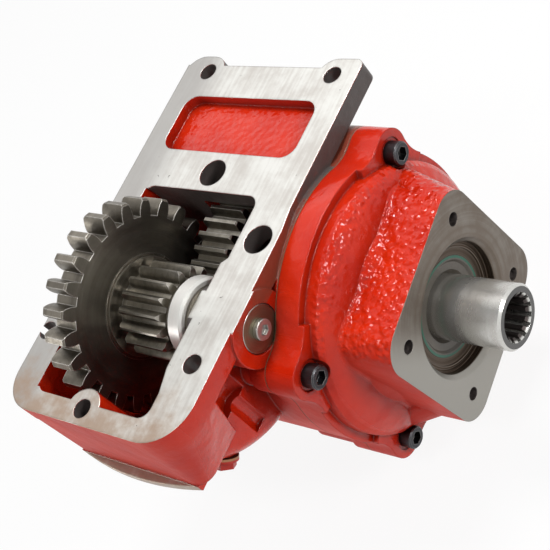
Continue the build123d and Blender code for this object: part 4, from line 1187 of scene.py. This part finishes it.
@dataclass(frozen=True)
class Studio:
    """The floor, the lights and the photograph's camera."""

    eye: Point = (0.565011, -0.210705, 0.498180)
    right: Point = (0.748214, 0.420683, -0.513032)
    down: Point = (0.121087, -0.846870, -0.517832)
    forward: Point = (-0.652314, 0.325328, -0.684579)
    lens: float = 84.880366
    sensor: float = 36.0
    clip: Span = (0.01, 20.0)
    unit_middle: Point = (0.045, 0.04, -0.05)
    lamps: tuple[Lamp, ...] = (
        Lamp("sky_lamp", (-0.70, 0.71, -0.06), 1.3, 1.1, 2.8),
        Lamp("key_lamp", (-0.35, 0.95, 0.55), 1.2, 0.30, 10.0),
        Lamp("right_lamp", (0.55, 0.35, 1.0), 1.2, 0.28, 6.0),
        Lamp("left_lamp", (-0.7, 0.1, 1.0), 1.2, 0.25, 4.0),
        Lamp("low_lamp", (-0.90, -0.43, -0.05), 1.1, 0.22, 2.0),
    )
    world_diffuse: float = 0.19
    world_overhead: float = 0.30
    ceiling: Span = (0.45, 0.85)
    floor_size: float = 6.0
    floor_gap: float = 0.0005
    floor_white: float = 0.80
    floor_roughness: float = 0.9
    floor_glow: float = 0.9

    def camera(self) -> None:
        """Makes the camera at the photograph's place."""
        data = bpy.data.cameras.new("photo_camera")
        data.sensor_fit = "HORIZONTAL"
        data.sensor_width = self.sensor
        data.lens = self.lens
        data.clip_start, data.clip_end = self.clip
        camera = bpy.data.objects.new("photo_camera", data)
        axes = Matrix((self.right, -Vector(self.down), -Vector(self.forward))).transposed()
        camera.matrix_world = Matrix.Translation(self.eye) @ axes.to_4x4()
        bpy.context.scene.collection.objects.link(camera)
        bpy.context.scene.camera = camera

    def _toward(self, right: float, up: float, back: float) -> Vector:
        """Gives a direction from its shares along the camera's own axes."""
        sideways = right * Vector(self.right) - up * Vector(self.down)
        return (sideways - back * Vector(self.forward)).normalized()

    def lights(self) -> None:
        """Makes the lamps."""
        for lamp in self.lamps:
            data = bpy.data.lights.new(lamp.name, "AREA")
            data.shape = "SQUARE"
            data.size = lamp.size
            data.energy = lamp.power
            light = bpy.data.objects.new(lamp.name, data)
            direction = self._toward(*lamp.place)
            light.location = Vector(self.unit_middle) + lamp.distance * direction
            light.rotation_euler = direction.to_track_quat("Z", "Y").to_euler()
            bpy.context.scene.collection.objects.link(light)

    def _seen_directly(self, graph: Graph) -> Socket:
        """Gives 1 for camera, glossy and transmission rays."""
        path = graph.add("ShaderNodeLightPath")
        kinds = ("Is Camera Ray", "Is Glossy Ray", "Is Transmission Ray")
        return graph.either(*(path.outputs[kind] for kind in kinds))

    def world(self) -> None:
        """Makes a white surround with a greyer ceiling that lights the unit softly."""
        world = bpy.data.worlds.new("studio_world")
        world.use_nodes = True
        graph = Graph(world.node_tree)
        background = world.node_tree.nodes["Background"]
        _, _, height = graph.parts(graph.add("ShaderNodeTexCoord").outputs["Generated"])
        ceiling = graph.level(graph.ramp(height, *self.ceiling), 1.0, self.world_overhead)
        graph.feed(
            background.inputs["Strength"],
            graph.level(self._seen_directly(graph), self.world_diffuse, ceiling),
        )
        background.inputs["Color"].default_value = (1.0, 1.0, 1.0, 1.0)
        bpy.context.scene.world = world

    def floor(self, lowest: float) -> None:
        """Makes the pale floor under the unit.

        Args:
            lowest: height of the unit's lowest point.
        """
        shape = bmesh.new()
        bmesh.ops.create_grid(shape, x_segments=1, y_segments=1, size=self.floor_size / 2)
        bmesh.ops.translate(shape, vec=(0.0, 0.0, lowest - self.floor_gap), verts=shape.verts)
        mesh = bpy.data.meshes.new("floor")
        shape.to_mesh(mesh)
        shape.free()
        floor = bpy.data.objects.new("floor", mesh)
        bpy.context.scene.collection.objects.link(floor)
        finish = Finish("floor_white", specular=0.0)
        finish.set(Base_Color=(self.floor_white,) * 3, Roughness=self.floor_roughness)
        graph = finish.graph
        glow = graph.add("ShaderNodeEmission")
        mixer = graph.add("ShaderNodeMixShader")
        graph.feed(mixer.inputs[0], graph.scaled(self._seen_directly(graph), self.floor_glow))
        graph.feed(mixer.inputs[1], finish.shader.outputs[0])
        graph.feed(mixer.inputs[2], glow.outputs[0])
        output = finish.material.node_tree.nodes["Material Output"]
        graph.feed(output.inputs["Surface"], mixer.outputs[0])
        mesh.materials.append(finish.material)
        floor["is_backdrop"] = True

    def build(self, lowest: float) -> None:
        """Builds the whole studio.

        Args:
            lowest: height of the unit's lowest point.
        """
        self.camera()
        self.lights()
        self.world()
        self.floor(lowest)
        bpy.context.scene.view_settings.view_transform = "Standard"


def main() -> None:
    """Loads the frame, dresses it, and sets up the studio."""
    logging.basicConfig(level=logging.INFO, format="%(message)s")
    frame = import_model()
    cad_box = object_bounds()
    Wardrobe(frame["nodes"], Palette(Tones(), Layout())).dress()
    Studio().build(min(corner[2] for corner in cad_box))


if __name__ == "__main__":
    main()
